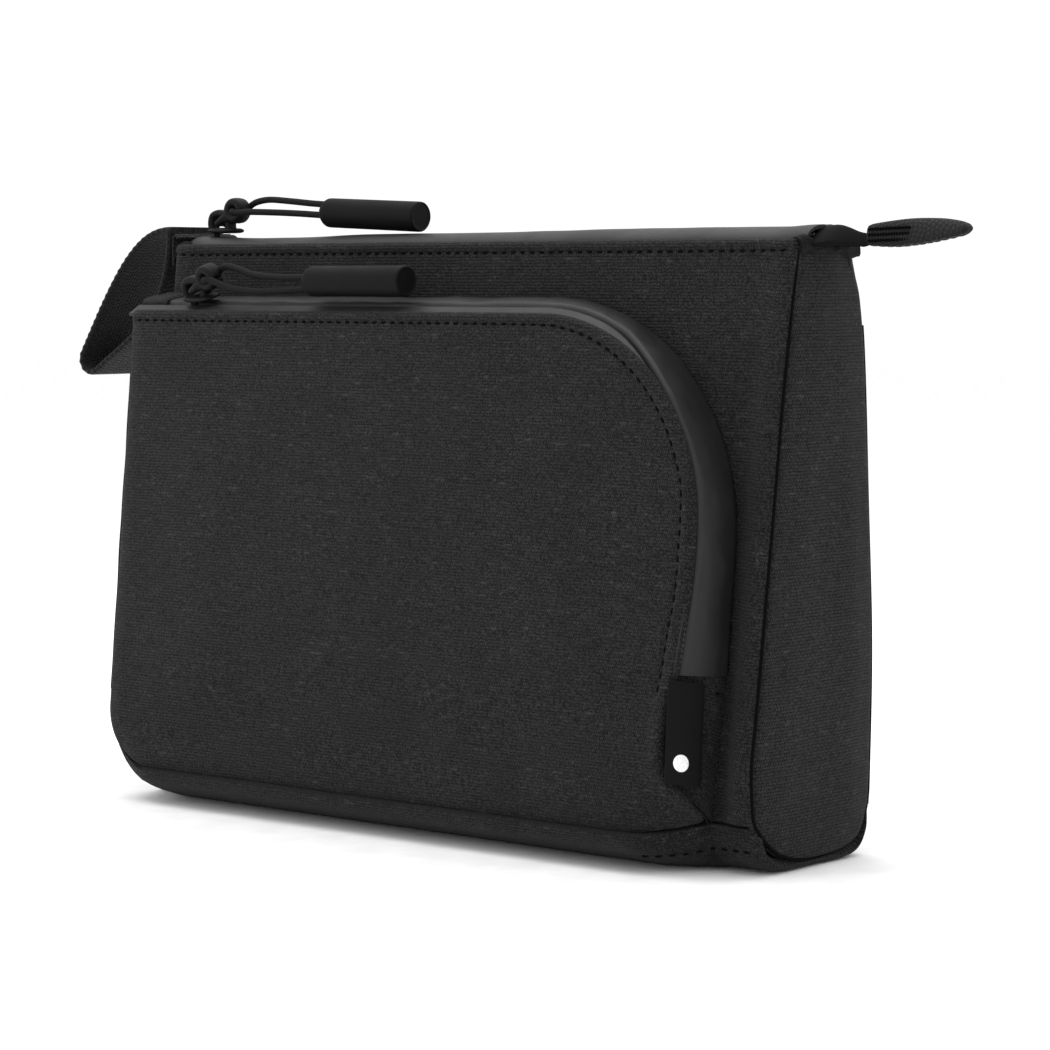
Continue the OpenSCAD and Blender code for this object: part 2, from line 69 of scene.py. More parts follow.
# The body's outer surfaces, as the CAD part has them
TOP_Z = 152.5
SEAM_Z = 12.0
LIP_Y = 12.0
BASE_FRONT = 25.5
BASE_BACK = 21.5
SEAM_X = HALF_W - 0.3
LEAN_FRONT = math.atan((BASE_FRONT - LIP_Y) / (TOP_Z - SEAM_Z))
LEAN_BACK = math.atan((BASE_BACK - LIP_Y) / (TOP_Z - SEAM_Z))
FRONT_LEN = (TOP_Z - SEAM_Z) / math.cos(LEAN_FRONT)
BACK_LEN = (TOP_Z - SEAM_Z) / math.cos(LEAN_BACK)
WALL = 3.2
LIP_R = WALL / 2
RIDGE_Z = cad_corners("main_tape_front")[1][2]
TAPE_T = 0.9

# The front pocket
POCKET_D = 16.0
POCKET_TOP = 121.5
BAND_TOP = 126.5
FACE_R = 52.0
FACE_C = (40.0, POCKET_TOP - FACE_R)
BAND_R = 60.0
BAND_C = (34.0, BAND_TOP - BAND_R)
POCKET_RIGHT = 94.0
ZIP_END = 35.5
SLIT_D = 10.4

# Where the pieces that the pocket's zip opens are split into a left and a right half
FLAP_CUT = -37.0

STITCH_PITCH = 3.1
HEM_H = 4.2
HEM_STITCH = 3.1

# Points closer than this are one, in metres
MERGE = 1e-6

# How finely a casting is melted together, and how often it is smoothed
CAST_VOXEL = 0.2
CAST_ROUNDS = 2


# ---------------------------------------------------------------- numbers and curves
def smooth(t):
    t = np.clip(t, 0, 1)
    return t * t * (3 - 2 * t)


def quarter(t):
    """Rises like a quarter circle from 0 at t = 0 to 1 at t = 1"""
    return np.sqrt(np.clip(1 - (1 - np.clip(t, 0, 1)) ** 2, 0, 1))


def bell(x, centre, width):
    return np.exp(-(((x - centre) / width) ** 2))


def lengths_along(points, axis=0):
    """Length along a polyline up to each of its points, or along each row of a grid with axis=1"""
    steps = np.cumsum(np.linalg.norm(np.diff(points, axis=axis), axis=-1), axis=axis)
    return np.concatenate([np.zeros_like(np.take(steps, [0], axis=axis)), steps], axis=axis)


def resample(points, t):
    """Points at the fractions t of a polyline's length"""
    points = np.asarray(points, float)
    s = lengths_along(points)
    s /= s[-1]
    return np.stack([np.interp(t, s, points[:, k]) for k in range(points.shape[1])], -1)


def curve(points, n, per=12):
    """n evenly spaced points on a smooth curve through the given ones"""
    p = np.asarray(points, float)
    p = np.vstack([2 * p[0] - p[1], p, 2 * p[-1] - p[-2]])
    out = []
    for i in range(1, len(p) - 2):
        for t in np.linspace(0, 1, per, endpoint=False):
            a, b, c, d = p[i - 1:i + 3]
            out.append(0.5 * (2 * b + (c - a) * t + (2 * a - 5 * b + 4 * c - d) * t * t
                              + (3 * b - a - 3 * c + d) * t ** 3))
    out.append(p[-2])
    return resample(out, np.linspace(0, 1, n))


def runs(*parts):
    """Numbers in several even runs, each given as first, last and count"""
    return np.concatenate([np.linspace(*part) for part in parts])


def arc(centre, r, start, end, n):
    a = np.radians(np.linspace(start, end, n))
    return np.stack([centre[0] + r * np.cos(a), centre[1] + r * np.sin(a)], -1)


def length_of(points):
    return float(np.linalg.norm(np.diff(np.asarray(points, float), axis=0), axis=1).sum())


def wrinkle(points, scale, seed):
    """Smooth noise from -1 to 1 at each point"""
    flat = np.asarray(points, float).reshape(-1, np.shape(points)[-1])
    got = [noise.noise(Vector((p[0] * scale, p[1] * scale, (p[2] if len(p) > 2 else 0) * scale + seed)))
           for p in flat]
    return np.array(got).reshape(np.shape(points)[:-1])


def on_wall(x, depth, height, side, foot, lean):
    """A point at a distance outside a leaning wall and a height up it; side is its way along Y"""
    x, depth, height = np.broadcast_arrays(np.asarray(x, float), depth, height)
    c, s = math.cos(lean), math.sin(lean)
    return np.stack([x, side * (foot + depth * c - height * s), SEAM_Z + depth * s + height * c], -1)


def front_frame(x, depth, height):
    return on_wall(x, depth, height, -1, BASE_FRONT, LEAN_FRONT)


def back_frame(x, depth, height):
    return on_wall(x, depth, height, 1, BASE_BACK, LEAN_BACK)


FRONT_OUT = front_frame(0, 1, 0) - front_frame(0, 0, 0)
FRONT_UP = front_frame(0, 0, 1) - front_frame(0, 0, 0)
BACK_UP = back_frame(0, 0, 1) - back_frame(0, 0, 0)


# ---------------------------------------------------------------- meshes
def add_object(name, data):
    obj = bpy.data.objects.new(name, data)
    bpy.context.scene.collection.objects.link(obj)
    return obj


def add_mesh(name, bm):
    """An object from a bmesh, which is freed"""
    mesh = bpy.data.meshes.new(name)
    bm.to_mesh(mesh)
    bm.free()
    return add_object(name, mesh)


def make(name, points, faces, uv=None, material=None, sharp=55):
    mesh = bpy.data.meshes.new(name)
    mesh.from_pydata((np.asarray(points, float).reshape(-1, 3) * MM).tolist(), [], faces)
    if uv is None:
        uv = np.asarray(points, float).reshape(-1, 3)[:, [0, 2]]
    layer = mesh.uv_layers.new(name="cloth")
    at = np.empty(len(mesh.loops), int)
    mesh.loops.foreach_get("vertex_index", at)
    layer.data.foreach_set("uv", (np.asarray(uv, float).reshape(-1, 2) * MM)[at].ravel())
    obj = add_object(name, mesh)
    tidy(obj, sharp)
    if material:
        mesh.materials.append(material)
    return obj


def tidy(obj, sharp):
    """Joins doubled points, turns the faces outwards and smooths the shading"""
    bm = bmesh.new()
    bm.from_mesh(obj.data)
    bmesh.ops.remove_doubles(bm, verts=bm.verts, dist=MERGE)
    bmesh.ops.dissolve_degenerate(bm, edges=bm.edges, dist=MERGE)
    bmesh.ops.recalc_face_normals(bm, faces=bm.faces)
    bm.to_mesh(obj.data)
    bm.free()
    obj.data.polygons.foreach_set("use_smooth", [True] * len(obj.data.polygons))
    obj.data.set_sharp_from_angle(angle=math.radians(sharp))
    obj.data.update()


def grid_faces(m, n, wrap=False, start=0):
    """Faces of m rows of n points; wrap joins each row's end to its start"""
    last = n if wrap else n - 1
    return [(start + i * n + j, start + i * n + (j + 1) % n,
             start + (i + 1) * n + (j + 1) % n, start + (i + 1) * n + j)
            for i in range(m - 1) for j in range(last)]


def normals_of(grid):
    du = np.gradient(grid, axis=0)
    dv = np.gradient(grid, axis=1)
    n = np.cross(du, dv)
    return n / np.maximum(np.linalg.norm(n, axis=-1, keepdims=True), 1e-9)


def shell_between(name, outer, inner, uv, material, sharp=55):
    """A closed shell from two grids of the same shape"""
    m, n = outer.shape[:2]
    faces = grid_faces(m, n) + [f[::-1] for f in grid_faces(m, n, start=m * n)]
    k = m * n
    rim = ([(i, 0) for i in range(m)] + [(m - 1, j) for j in range(1, n)]
           + [(i, n - 1) for i in range(m - 2, -1, -1)] + [(0, j) for j in range(n - 2, 0, -1)])
    ids = [i * n + j for i, j in rim]
    for a, b in zip(ids, ids[1:] + ids[:1]):
        faces.append((a, b, b + k, a + k))
    points = np.concatenate([outer.reshape(-1, 3), inner.reshape(-1, 3)])
    uvs = np.concatenate([uv.reshape(-1, 2)] * 2)
    return make(name, points, faces, uvs, material, sharp)


def shell(name, grid, uv, thickness, material, sharp=55):
    """A closed shell behind a grid of points, along minus its normals"""
    return shell_between(name, grid, grid - normals_of(grid) * thickness, uv, material, sharp)


def loft(name, rings, uv, material, sharp=55):
    """A closed solid through rings of points, with flat ends"""
    rings = np.asarray(rings, float)
    m, n = rings.shape[:2]
    faces = grid_faces(m, n, wrap=True)
    faces += [tuple(range(n - 1, -1, -1)), tuple((m - 1) * n + j for j in range(n))]
    return make(name, rings, faces, uv, material, sharp)


def frames_along(path):
    """Two sides square to a path at each of its points, turning as little as possible"""
    path = np.asarray(path, float)
    t = np.gradient(path, axis=0)
    t /= np.linalg.norm(t, axis=1, keepdims=True)
    side = np.cross(t[0], [0, 0, 1.0])
    if np.linalg.norm(side) < 0.1:
        side = np.cross(t[0], [0, 1.0, 0])
    sides = []
    for d in t:
        side = side - d * (side @ d)
        side = side / np.linalg.norm(side)
        sides.append(side)
    sides = np.array(sides)
    return sides, np.cross(t, sides)


def tube(name, path, radius, material, sides=12, ends=0.6):
    """A round tube along a path, its ends rounded in"""
    path = np.asarray(path, float)
    a, b = frames_along(path)
    r = np.broadcast_to(np.asarray(radius, float), len(path)).copy()
    r[0] *= ends
    r[-1] *= ends
    phi = np.linspace(0, 2 * np.pi, sides, endpoint=False)
    rings = (path[:, None] + r[:, None, None] * (a[:, None] * np.cos(phi)[None, :, None]
                                                 + b[:, None] * np.sin(phi)[None, :, None]))
    s = lengths_along(path)
    around = phi * float(np.max(r))
    uv = np.stack(np.broadcast_arrays(around[None, :], s[:, None]), -1)
    return loft(name, rings, uv, material)


def ribbon(name, path, side, width, thickness, material, pitch=0.0, depth=0.0):
    """Webbing along a path; pitch and depth scallop its two selvedges"""
    path = np.asarray(path, float)
    side = np.broadcast_to(np.asarray(side, float), path.shape)
    side = side / np.linalg.norm(side, axis=1, keepdims=True)
    t = np.gradient(path, axis=0)
    t /= np.linalg.norm(t, axis=1, keepdims=True)
    up = np.cross(side, t)
    up /= np.linalg.norm(up, axis=1, keepdims=True)
    s = lengths_along(path)
    w = np.broadcast_to(np.asarray(width, float), len(path)) / 2
    if pitch:
        w = w - depth * np.abs(np.cos(np.pi * s / pitch))
    across = np.array([-1, -0.97, -0.9, -0.6, -0.3, 0, 0.3, 0.6, 0.9, 0.97, 1])
    thick = np.array([0.45, 0.8, 1, 1, 1, 1, 1, 1, 1, 0.8, 0.45]) * thickness / 2
    ring = [(x, h) for x, h in zip(across, thick)] + [(x, -h) for x, h in zip(across[::-1], thick[::-1])]
    rings = np.array([[path[i] + side[i] * x * w[i] + up[i] * h for x, h in ring] for i in range(len(path))])
    uv = np.array([[(x * w[i], s[i]) for x, _ in ring] for i in range(len(path))])
    return loft(name, rings, uv, material)


def stitch_row(name, path, out, pitch=STITCH_PITCH, long=2.1, r=0.32):
    """Separate stitches along a path; out is the fabric's outward direction at each point"""
    path = np.asarray(path, float)
    total = length_of(path)
    count = int(total / pitch)
    t = (np.arange(count) + 0.5) / count
    at = resample(path, t)
    step = 0.5 * long / total
    ahead = resample(path, np.clip(t + step, 0, 1)) - resample(path, np.clip(t - step, 0, 1))
    ahead /= np.linalg.norm(ahead, axis=1, keepdims=True)
    outs = resample(np.broadcast_to(np.asarray(out, float), path.shape), t) if np.ndim(out) > 1 \
        else np.broadcast_to(out, at.shape)
    outs = outs / np.linalg.norm(outs, axis=1, keepdims=True)
    points, faces = [], []
    phi = np.linspace(0, 2 * np.pi, 8, endpoint=False)
    for p, d, o in zip(at, ahead, outs):
        side = np.cross(d, o)
        base = len(points)
        for f in np.linspace(-1, 1, 7):
            k = math.sqrt(max(1 - abs(f) ** 2.6, 0.03))
            c = p + d * f * long / 2 - o * (0.35 * f * f)
            points += [c + r * k * (side * math.cos(q) * 1.1 + o * math.sin(q)) for q in phi]
        faces += grid_faces(7, 8, wrap=True, start=base)
        faces += [tuple(base + j for j in range(7, -1, -1)), tuple(base + 48 + j for j in range(8))]
    return make(name, points, faces, None, THREAD, 80)


def coons(bottom, top, left, right, u, v):
    """A patch between four sides; u and v are fractions along them"""
    b, t = resample(bottom, u), resample(top, u)
    l, r = resample(left, v), resample(right, v)
    U, V = u[:, None, None], v[None, :, None]
    return ((1 - V) * b[:, None] + V * t[:, None] + (1 - U) * l[None] + U * r[None]
            - (1 - U) * (1 - V) * b[0] - U * (1 - V) * b[-1] - (1 - U) * V * t[0] - U * V * t[-1])


def crowded(n, near=0.35):
    """n fractions from 0 to 1, closer together near both ends"""
    t = np.linspace(0, 1, n)
    return (1 - near) * t + near * 0.5 * (1 - np.cos(np.pi * t))


def distance_to(points, line):
    """Distance from each point to a polyline"""
    flat = points.reshape(-1, 2)
    a, ab = line[:-1], line[1:] - line[:-1]
    square = np.maximum((ab ** 2).sum(1), 1e-12)
    best = np.empty(len(flat))
    for i in range(0, len(flat), 500):
        p = flat[i:i + 500, None]
        t = np.clip(((p - a) * ab).sum(-1) / square, 0, 1)
        best[i:i + 500] = np.linalg.norm(p - a - ab * t[..., None], axis=-1).min(1)
    return best.reshape(points.shape[:-1])


def fuse(name, parts):
    """Melts several solids into one, as a casting"""
    bm = bmesh.new()
    for p in parts:
        bm.from_mesh(p.data)
    for p in parts:
        bpy.data.objects.remove(p)
    obj = add_mesh(name, bm)
    remesh = obj.modifiers.new("melt", "REMESH")
    remesh.mode = "VOXEL"
    remesh.voxel_size = CAST_VOXEL * MM
    soften = obj.modifiers.new("soften", "SMOOTH")
    soften.iterations = CAST_ROUNDS
    apply_modifiers(obj, METAL)
    obj.data.polygons.foreach_set("use_smooth", [True] * len(obj.data.polygons))
    return obj


def apply_modifiers(obj, material):
    got = obj.evaluated_get(bpy.context.evaluated_depsgraph_get())
    mesh = bpy.data.meshes.new_from_object(got)
    obj.modifiers.clear()
    obj.data = mesh
    mesh.materials.clear()
    mesh.materials.append(material)


# ---------------------------------------------------------------- pieces and bodies
def put(piece, body, stands_for=()):
    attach(piece, body)
    if stands_for:
        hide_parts(*stands_for)
    return piece


def cut_off(piece, name, x, keep):
    """Keeps the part of a piece left of x (keep = -1) or right of it (keep = 1)"""
    mesh = piece.data.copy()
    mesh.name = name
    obj = add_object(name, mesh)
    bm = bmesh.new()
    bm.from_mesh(mesh)
    got = bmesh.ops.bisect_plane(bm, geom=bm.verts[:] + bm.edges[:] + bm.faces[:], dist=1e-7,
                                 plane_co=(x * MM, 0, 0), plane_no=(-keep, 0, 0), clear_outer=True)
    edges = [g for g in got["geom_cut"] if isinstance(g, bmesh.types.BMEdge)]
    if edges:
        cap = bmesh.ops.triangle_fill(bm, edges=edges, use_beauty=True)
        for f in cap["geom"]:
            if isinstance(f, bmesh.types.BMFace):
                f.smooth = False
                for e in f.edges:
                    e.smooth = False
    bm.to_mesh(mesh)
    bm.free()
    return obj


def swing(piece, cut, stands_for=()):
    """Splits a piece that a zip opens into a left and a right half"""
    made = []
    for side, keep in (("left", -1), ("right", 1)):
        half = cut_off(piece, f"{piece.name}_{side}", cut, keep)
        if not half.data.polygons:
            bpy.data.objects.remove(half)
            continue
        if keep < 0:
            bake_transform(half)
        else:
            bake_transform(half)
        if stands_for:
            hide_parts(*stands_for)
        made.append(half)
    bpy.data.objects.remove(piece)
    return made


def swing_back(piece, stands_for=()):
    return swing(piece, 0.0, stands_for)


def swing_flap(piece, stands_for=()):
    return swing(piece, FLAP_CUT, stands_for)


# ---------------------------------------------------------------- materials
class Nodes:
    """Small helper to write a material's nodes in order"""

    def __init__(self, name):
        self.mat = bpy.data.materials.new(name)
        self.mat.use_nodes = True
        self.tree = self.mat.node_tree
        self.tree.nodes.clear()
        self.out = self.tree.nodes.new("ShaderNodeOutputMaterial")
        self.bsdf = self.tree.nodes.new("ShaderNodeBsdfPrincipled")
        self.link(self.bsdf.outputs[0], self.out.inputs["Surface"])

    def link(self, a, b):
        self.tree.links.new(a, b)

    def feed(self, socket, value):
        if isinstance(value, bpy.types.NodeSocket):
            self.link(value, socket)
        else:
            socket.default_value = value

    def node(self, kind, **settings):
        made = self.tree.nodes.new(kind)
        for key, value in settings.items():
            setattr(made, key, value)
        return made

    def maths(self, operation, a, b=None):
        n = self.node("ShaderNodeMath", operation=operation)
        for socket, value in zip(n.inputs, (a, b)):
            if value is not None:
                self.feed(socket, value)
        return n.outputs[0]

    times = functools.partialmethod(maths, "MULTIPLY")
    plus = functools.partialmethod(maths, "ADD")
    minus = functools.partialmethod(maths, "SUBTRACT")
    over = functools.partialmethod(maths, "DIVIDE")
    power = functools.partialmethod(maths, "POWER")
    pingpong = functools.partialmethod(maths, "PINGPONG")
    floor = functools.partialmethod(maths, "FLOOR")
    sine = functools.partialmethod(maths, "SINE")
    positive = functools.partialmethod(maths, "ABSOLUTE")

    def uv(self):
        n = self.node("ShaderNodeUVMap", uv_map="cloth")
        parts = self.node("ShaderNodeSeparateXYZ")
        self.link(n.outputs[0], parts.inputs[0])
        return parts.outputs[0], parts.outputs[1]

    def place(self):
        return self.node("ShaderNodeTexCoord").outputs["Object"]

    def vector(self, x, y, z=0.0):
        n = self.node("ShaderNodeCombineXYZ")
        for socket, value in zip(n.inputs, (x, y, z)):
            self.feed(socket, value)
        return n.outputs[0]

    def noise(self, vector, scale, detail=2.0):
        n = self.node("ShaderNodeTexNoise")
        self.link(vector, n.inputs["Vector"])
        n.inputs["Scale"].default_value = scale
        n.inputs["Detail"].default_value = detail
        n.inputs["Roughness"].default_value = 0.5
        return n.outputs[0]

    def between(self, value, low, high, to_low=0.0, to_high=1.0):
        n = self.node("ShaderNodeMapRange", interpolation_type="SMOOTHSTEP")
        self.feed(n.inputs[0], value)
        for k, v in enumerate((low, high, to_low, to_high)):
            n.inputs[k + 1].default_value = v
        return n.outputs[0]

    def mix(self, factor, a, b):
        n = self.node("ShaderNodeMix", data_type="RGBA")
        self.feed(n.inputs[0], factor)
        self.feed(n.inputs[6], (*a, 1) if isinstance(a, tuple) else a)
        self.feed(n.inputs[7], (*b, 1) if isinstance(b, tuple) else b)
        return n.outputs[2]

    def scaled(self, colour, by):
        n = self.node("ShaderNodeVectorMath", operation="SCALE")
        n.inputs[0].default_value = colour
        self.link(by, n.inputs["Scale"])
        return n.outputs[0]

    def bump(self, height, distance, strength, after=None):
        n = self.node("ShaderNodeBump")
        n.inputs["Strength"].default_value = strength
        n.inputs["Distance"].default_value = distance * MM
        self.link(height, n.inputs["Height"])
        if after:
            self.link(after, n.inputs["Normal"])
        return n.outputs[0]

    def finish(self, colour, roughness, normal, sheen, specular):
        self.feed(self.bsdf.inputs["Base Color"], (*colour, 1) if isinstance(colour, tuple) else colour)
        self.feed(self.bsdf.inputs["Roughness"], roughness)
        self.link(normal, self.bsdf.inputs["Normal"])
        self.bsdf.inputs["Sheen Weight"].default_value = sheen
        self.bsdf.inputs["Sheen Roughness"].default_value = 0.5
        self.bsdf.inputs["Specular IOR Level"].default_value = specular
        return self.mat


def threads(g, u, v, pitch_u, pitch_v, uneven=0.25):
    """Height of a plain weave whose weft lines, pitch_v apart, stand out"""
    wander = g.noise(g.vector(g.times(u, 140.0), g.times(v, 260.0)), 1.0)
    lines = g.over(v, pitch_v * MM)
    lines = g.plus(lines, g.times(g.minus(wander, 0.5), uneven * 2))
    row = g.floor(lines)
    ridge = g.positive(g.sine(g.times(lines, math.pi)))
    dots = g.plus(g.over(u, pitch_u * MM), g.times(row, 0.5))
    dots = g.sine(g.times(dots, 2 * math.pi))
    height = g.times(ridge, g.plus(g.times(dots, 0.36), 0.64))
    return height, row


def woven(name, base, pitch_u=0.55, pitch_v=0.8, slub=0.5, rough=0.85, depth=0.16, contrast=0.55, sheen=0.12,
          specular=0.12, heather=0.1):
    """Heathered woven fabric with slubs along its threads"""
    g = Nodes(name)
    u, v = g.uv()
    height, row = threads(g, u, v, pitch_u, pitch_v)
    along = g.noise(g.vector(g.times(u, 210.0), g.times(row, 7.31)), 1.0, 1.0)
    column = g.floor(g.over(u, pitch_u * MM))
    upright = g.noise(g.vector(g.times(column, 5.17), g.times(v, 240.0), 3.0), 1.0, 1.0)
    cloud = g.noise(g.vector(u, v, 1.7), 55.0, 4.0)
    light = g.plus(g.between(along, 0.58, 0.8), g.times(g.between(upright, 0.64, 0.82), 0.5))
    dark = g.between(along, 0.42, 0.2)
    tone = g.plus(g.times(height, contrast), 1.0 - contrast * 0.55)
    tone = g.plus(tone, g.times(light, slub))
    tone = g.minus(tone, g.times(dark, slub * 0.4))
    tone = g.times(tone, g.between(cloud, 0.25, 0.75, 0.9, 1.1))
    fuzz = g.noise(g.place(), 2000.0, 2.0)
    tone = g.times(tone, g.between(fuzz, 0.36, 0.64, 1.0 - heather, 1.0 + heather))
    colour = g.scaled(base, tone)
    raised = g.plus(height, g.times(light, 0.3))
    normal = g.bump(raised, depth, 0.8, g.bump(fuzz, 0.05, 0.35))
    return g.finish(colour, g.between(height, 0.0, 1.0, rough + 0.06, rough - 0.04), normal, sheen, specular)


def film(name, base, rough=0.5, grain=900.0, depth=0.03, specular=0.5):
    """Smooth coated or moulded surface with a fine grain"""
    g = Nodes(name)
    fine = g.noise(g.place(), grain, 3.0)
    broad = g.noise(g.place(), 90.0, 3.0)
    dark, light = tuple(c * 0.95 for c in base), tuple(min(c * 1.06, 0.99) for c in base)
    colour = g.mix(g.between(broad, 0.3, 0.7), dark, light)
    roughness = g.between(broad, 0.3, 0.7, rough - 0.04, rough + 0.05)
    return g.finish(colour, roughness, g.bump(fine, depth, 0.6), 0.0, specular)


def ribbed(name, base, pitch_u=1.1, pitch_v=1.25, depth=0.3, rough=0.75, contrast=0.5, sheen=0.03):
    """Webbing: fat ribs in a herringbone step"""
    g = Nodes(name)
    u, v = g.uv()
    column = g.floor(g.over(u, pitch_u * MM))
    shift = g.times(g.pingpong(column, 2.0), 0.25)
    ribs = g.plus(g.over(v, pitch_v * MM), shift)
    ridge = g.positive(g.sine(g.times(ribs, math.pi)))
    cords = g.positive(g.sine(g.times(g.over(u, pitch_u * MM), math.pi)))
    height = g.times(g.power(ridge, 0.7), g.power(cords, 0.5))
    fuzz = g.noise(g.place(), 2200.0, 2.0)
    tone = g.plus(g.times(height, contrast), 1.0 - contrast * 0.6)
    tone = g.times(tone, g.between(fuzz, 0.3, 0.7, 0.85, 1.15))
    colour = g.scaled(base, tone)
    normal = g.bump(height, depth, 0.9, g.bump(fuzz, 0.06, 0.4))
    return g.finish(colour, rough, normal, sheen, 0.15)


FABRIC = woven("outer_fabric", (0.0143, 0.0143, 0.0147), slub=0.8, contrast=0.7, sheen=0.03, depth=0.22,
               heather=0.6)
LINING = woven("lining_cloth", (0.075, 0.078, 0.084), 0.3, 0.3, 0.1, 0.7, 0.05, 0.35, 0.05)
COATED = film("coated_zip_tape", (0.0085, 0.0085, 0.0088), 0.56, 1500.0, 0.05, 0.38)
NYLON = film("nylon_coil", (0.018, 0.018, 0.019), 0.4, 2500.0, 0.02)
# Binding colour is darkened far below the webbing's: painted shade for the shadow along the gusset tops
BINDING_PAINTED_SHADE = ribbed("edge_binding_painted_shade", (0.0022, 0.0022, 0.0024), 0.7, 0.7, 0.15, sheen=0.0)
# Darker, duller copy of the coated tape for the folded tail: painted shade, as the tail's front half hangs in
# shade
TAIL_PAINTED_SHADE = film("folded_tape_painted_shade", (0.0045, 0.0045, 0.0047), 0.75, 1500.0, 0.05, 0.08)
WEBBING = ribbed("webbing", (0.0105, 0.0105, 0.011))
ELASTIC = ribbed("elastic", (0.02, 0.02, 0.021), 0.9, 0.8, 0.15)
METAL = film("painted_metal", (0.006, 0.006, 0.0063), 0.5, 1800.0, 0.015, 0.1)
CORD = ribbed("braided_cord", (0.0065, 0.0065, 0.0068), 0.5, 0.6, 0.12, sheen=0.0)
RUBBER = film("moulded_grip", (0.0055, 0.0055, 0.0057), 0.55, 2600.0, 0.03, 0.07)
SATIN = woven("label_satin", (0.006, 0.006, 0.0063), 0.2, 0.25, 0.05, 0.55, 0.02, 0.25, 0.0, 0.06, 0.05)
WHITE = woven("label_mark", (0.85, 0.85, 0.85), 0.25, 0.3, 0.05, 0.6, 0.03, 0.1, 0.0)
MESH = film("mesh_yarn", (0.03, 0.03, 0.031), 0.6, 2000.0, 0.03)
THREAD = film("sewing_thread", (0.0018, 0.0018, 0.002), 0.7, 3000.0, 0.05, 0.04)

# ---------------------------------------------------------------- front and back walls
SEAM_BULGE = curve([(12, 1.7), (15.7, 3.2), (26.5, 4.9), (36.7, 4.3), (51.2, 3.6), (73, 3.0),
                    (110.4, 1.5), (132.9, 0.3), (142, 0.0), (152.5, 0.0)], 120)
BACK_BULGE = curve([(12, 0.2), (19.8, 0.8), (56.4, 3.1), (108.3, 3.5), (134.8, 2.9), (147.5, 0.4),
                    (152.5, 0.0)], 100)


def side_pull(x):
    """How far a wall turns in at its side seams"""
    edge = SEAM_X - np.abs(x)
    return 1.3 * (1 - quarter(edge / 3.3)) + 1.0 * (1 - quarter(edge / 0.8))


def with_hem(out, h, length):
    """Adds a wall's raised hem and the groove that its stitches press in"""
    return out + 0.3 * smooth((h - length + HEM_H) / 0.9) - 0.5 * bell(h, length - HEM_STITCH, 0.55)


def front_out(x, h):
    """How far the front wall's fabric stands proud of its plane"""
    z = SEAM_Z + h * math.cos(LEAN_FRONT)
    bulge = np.interp(z, SEAM_BULGE[:, 0], SEAM_BULGE[:, 1])
    ridge = (bulge + 0.9) * smooth((np.abs(x) - 93.5) / 8.5)
    soft = 0.35 * wrinkle(np.stack(np.broadcast_arrays(x, h), -1), 0.035, 2.0)
    return with_hem(ridge, h, FRONT_LEN) + soft - side_pull(x)


def back_out(x, h):
    z = SEAM_Z + h * math.cos(LEAN_BACK)
    bulge = np.interp(z, BACK_BULGE[:, 0], BACK_BULGE[:, 1])
    soft = 0.4 * wrinkle(np.stack(np.broadcast_arrays(x, h), -1), 0.03, 9.0)
    return with_hem(bulge, h, BACK_LEN) + soft - side_pull(x)


def wall_cover(name, place, out, length, foot):
    """A padded wall: outer fabric up to the rolled hem and down again inside"""
    xs = runs((-SEAM_X, -99, 12), (-97, 91, 64), (92.5, SEAM_X, 22))
    hs = runs((foot, 100, 44), (102, length - 6, 18), (length - 5.4, length - LIP_R, 16))
    X, H = np.meshgrid(xs, hs, indexing="ij")
    outer = out(X, H)
    end = quarter((SEAM_X - np.abs(X)) / 3.3)
    inner = np.minimum(-WALL + 1.2 * (1 - end), outer - 0.8)
    top, low = outer[:, -1:], inner[:, -1:]
    turn = np.radians(np.linspace(0, 180, 10))[None, 1:-1]
    lip_d = (top + low) / 2 + (top - low) / 2 * np.cos(turn)
    lip_h = hs[-1] + LIP_R * np.sin(turn)
    depth = np.concatenate([outer, lip_d, inner[:, ::-1]], 1)
    height = np.concatenate([H, np.broadcast_to(lip_h, lip_d.shape), H[:, ::-1]], 1)
    x = np.broadcast_to(xs[:, None], depth.shape)
    rings = place(x, depth, height)
    return loft(name, rings, np.stack([x, lengths_along(rings, 1) + foot], -1), FABRIC)


def hem_stitches(name, place, out, length, x_from, x_to):
    xs = np.linspace(x_from, x_to, 220)
    h = np.full_like(xs, length - HEM_STITCH)
    d = out(xs, h)
    return stitch_row(name, place(xs, d + 0.12, h), place(0, 1, 0) - place(0, 0, 0))


front_cover = put(wall_cover("front_cover", front_frame, front_out, FRONT_LEN, 0.6), "pouch",
                  ("front_panel", "front_foam"))
put(hem_stitches("front_hem_stitches", front_frame, front_out, FRONT_LEN, -103.5, 103.8), "pouch")
for half in swing_back(wall_cover("back_cover", back_frame, back_out, BACK_LEN, 0.6),
                       ("back_panel", "back_foam")):
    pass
swing_back(hem_stitches("back_hem_stitches", back_frame, back_out, BACK_LEN, -103.8, 103.8))


def lining(name, place, length, foot):
    xs, hs = np.linspace(-102.4, 102.4, 60), np.linspace(foot, length, 44)
    X, H = np.meshgrid(xs, hs, indexing="ij")
    soft = 0.3 * wrinkle(np.stack([X, H], -1), 0.05, 21.0)
    outer = place(X, -WALL - 0.12 + np.minimum(soft, 0.1), H)
    inner = place(X, -WALL - 0.62 + np.minimum(soft, 0.1), H)
    return shell_between(name, outer, inner, np.stack([X, H], -1), LINING)


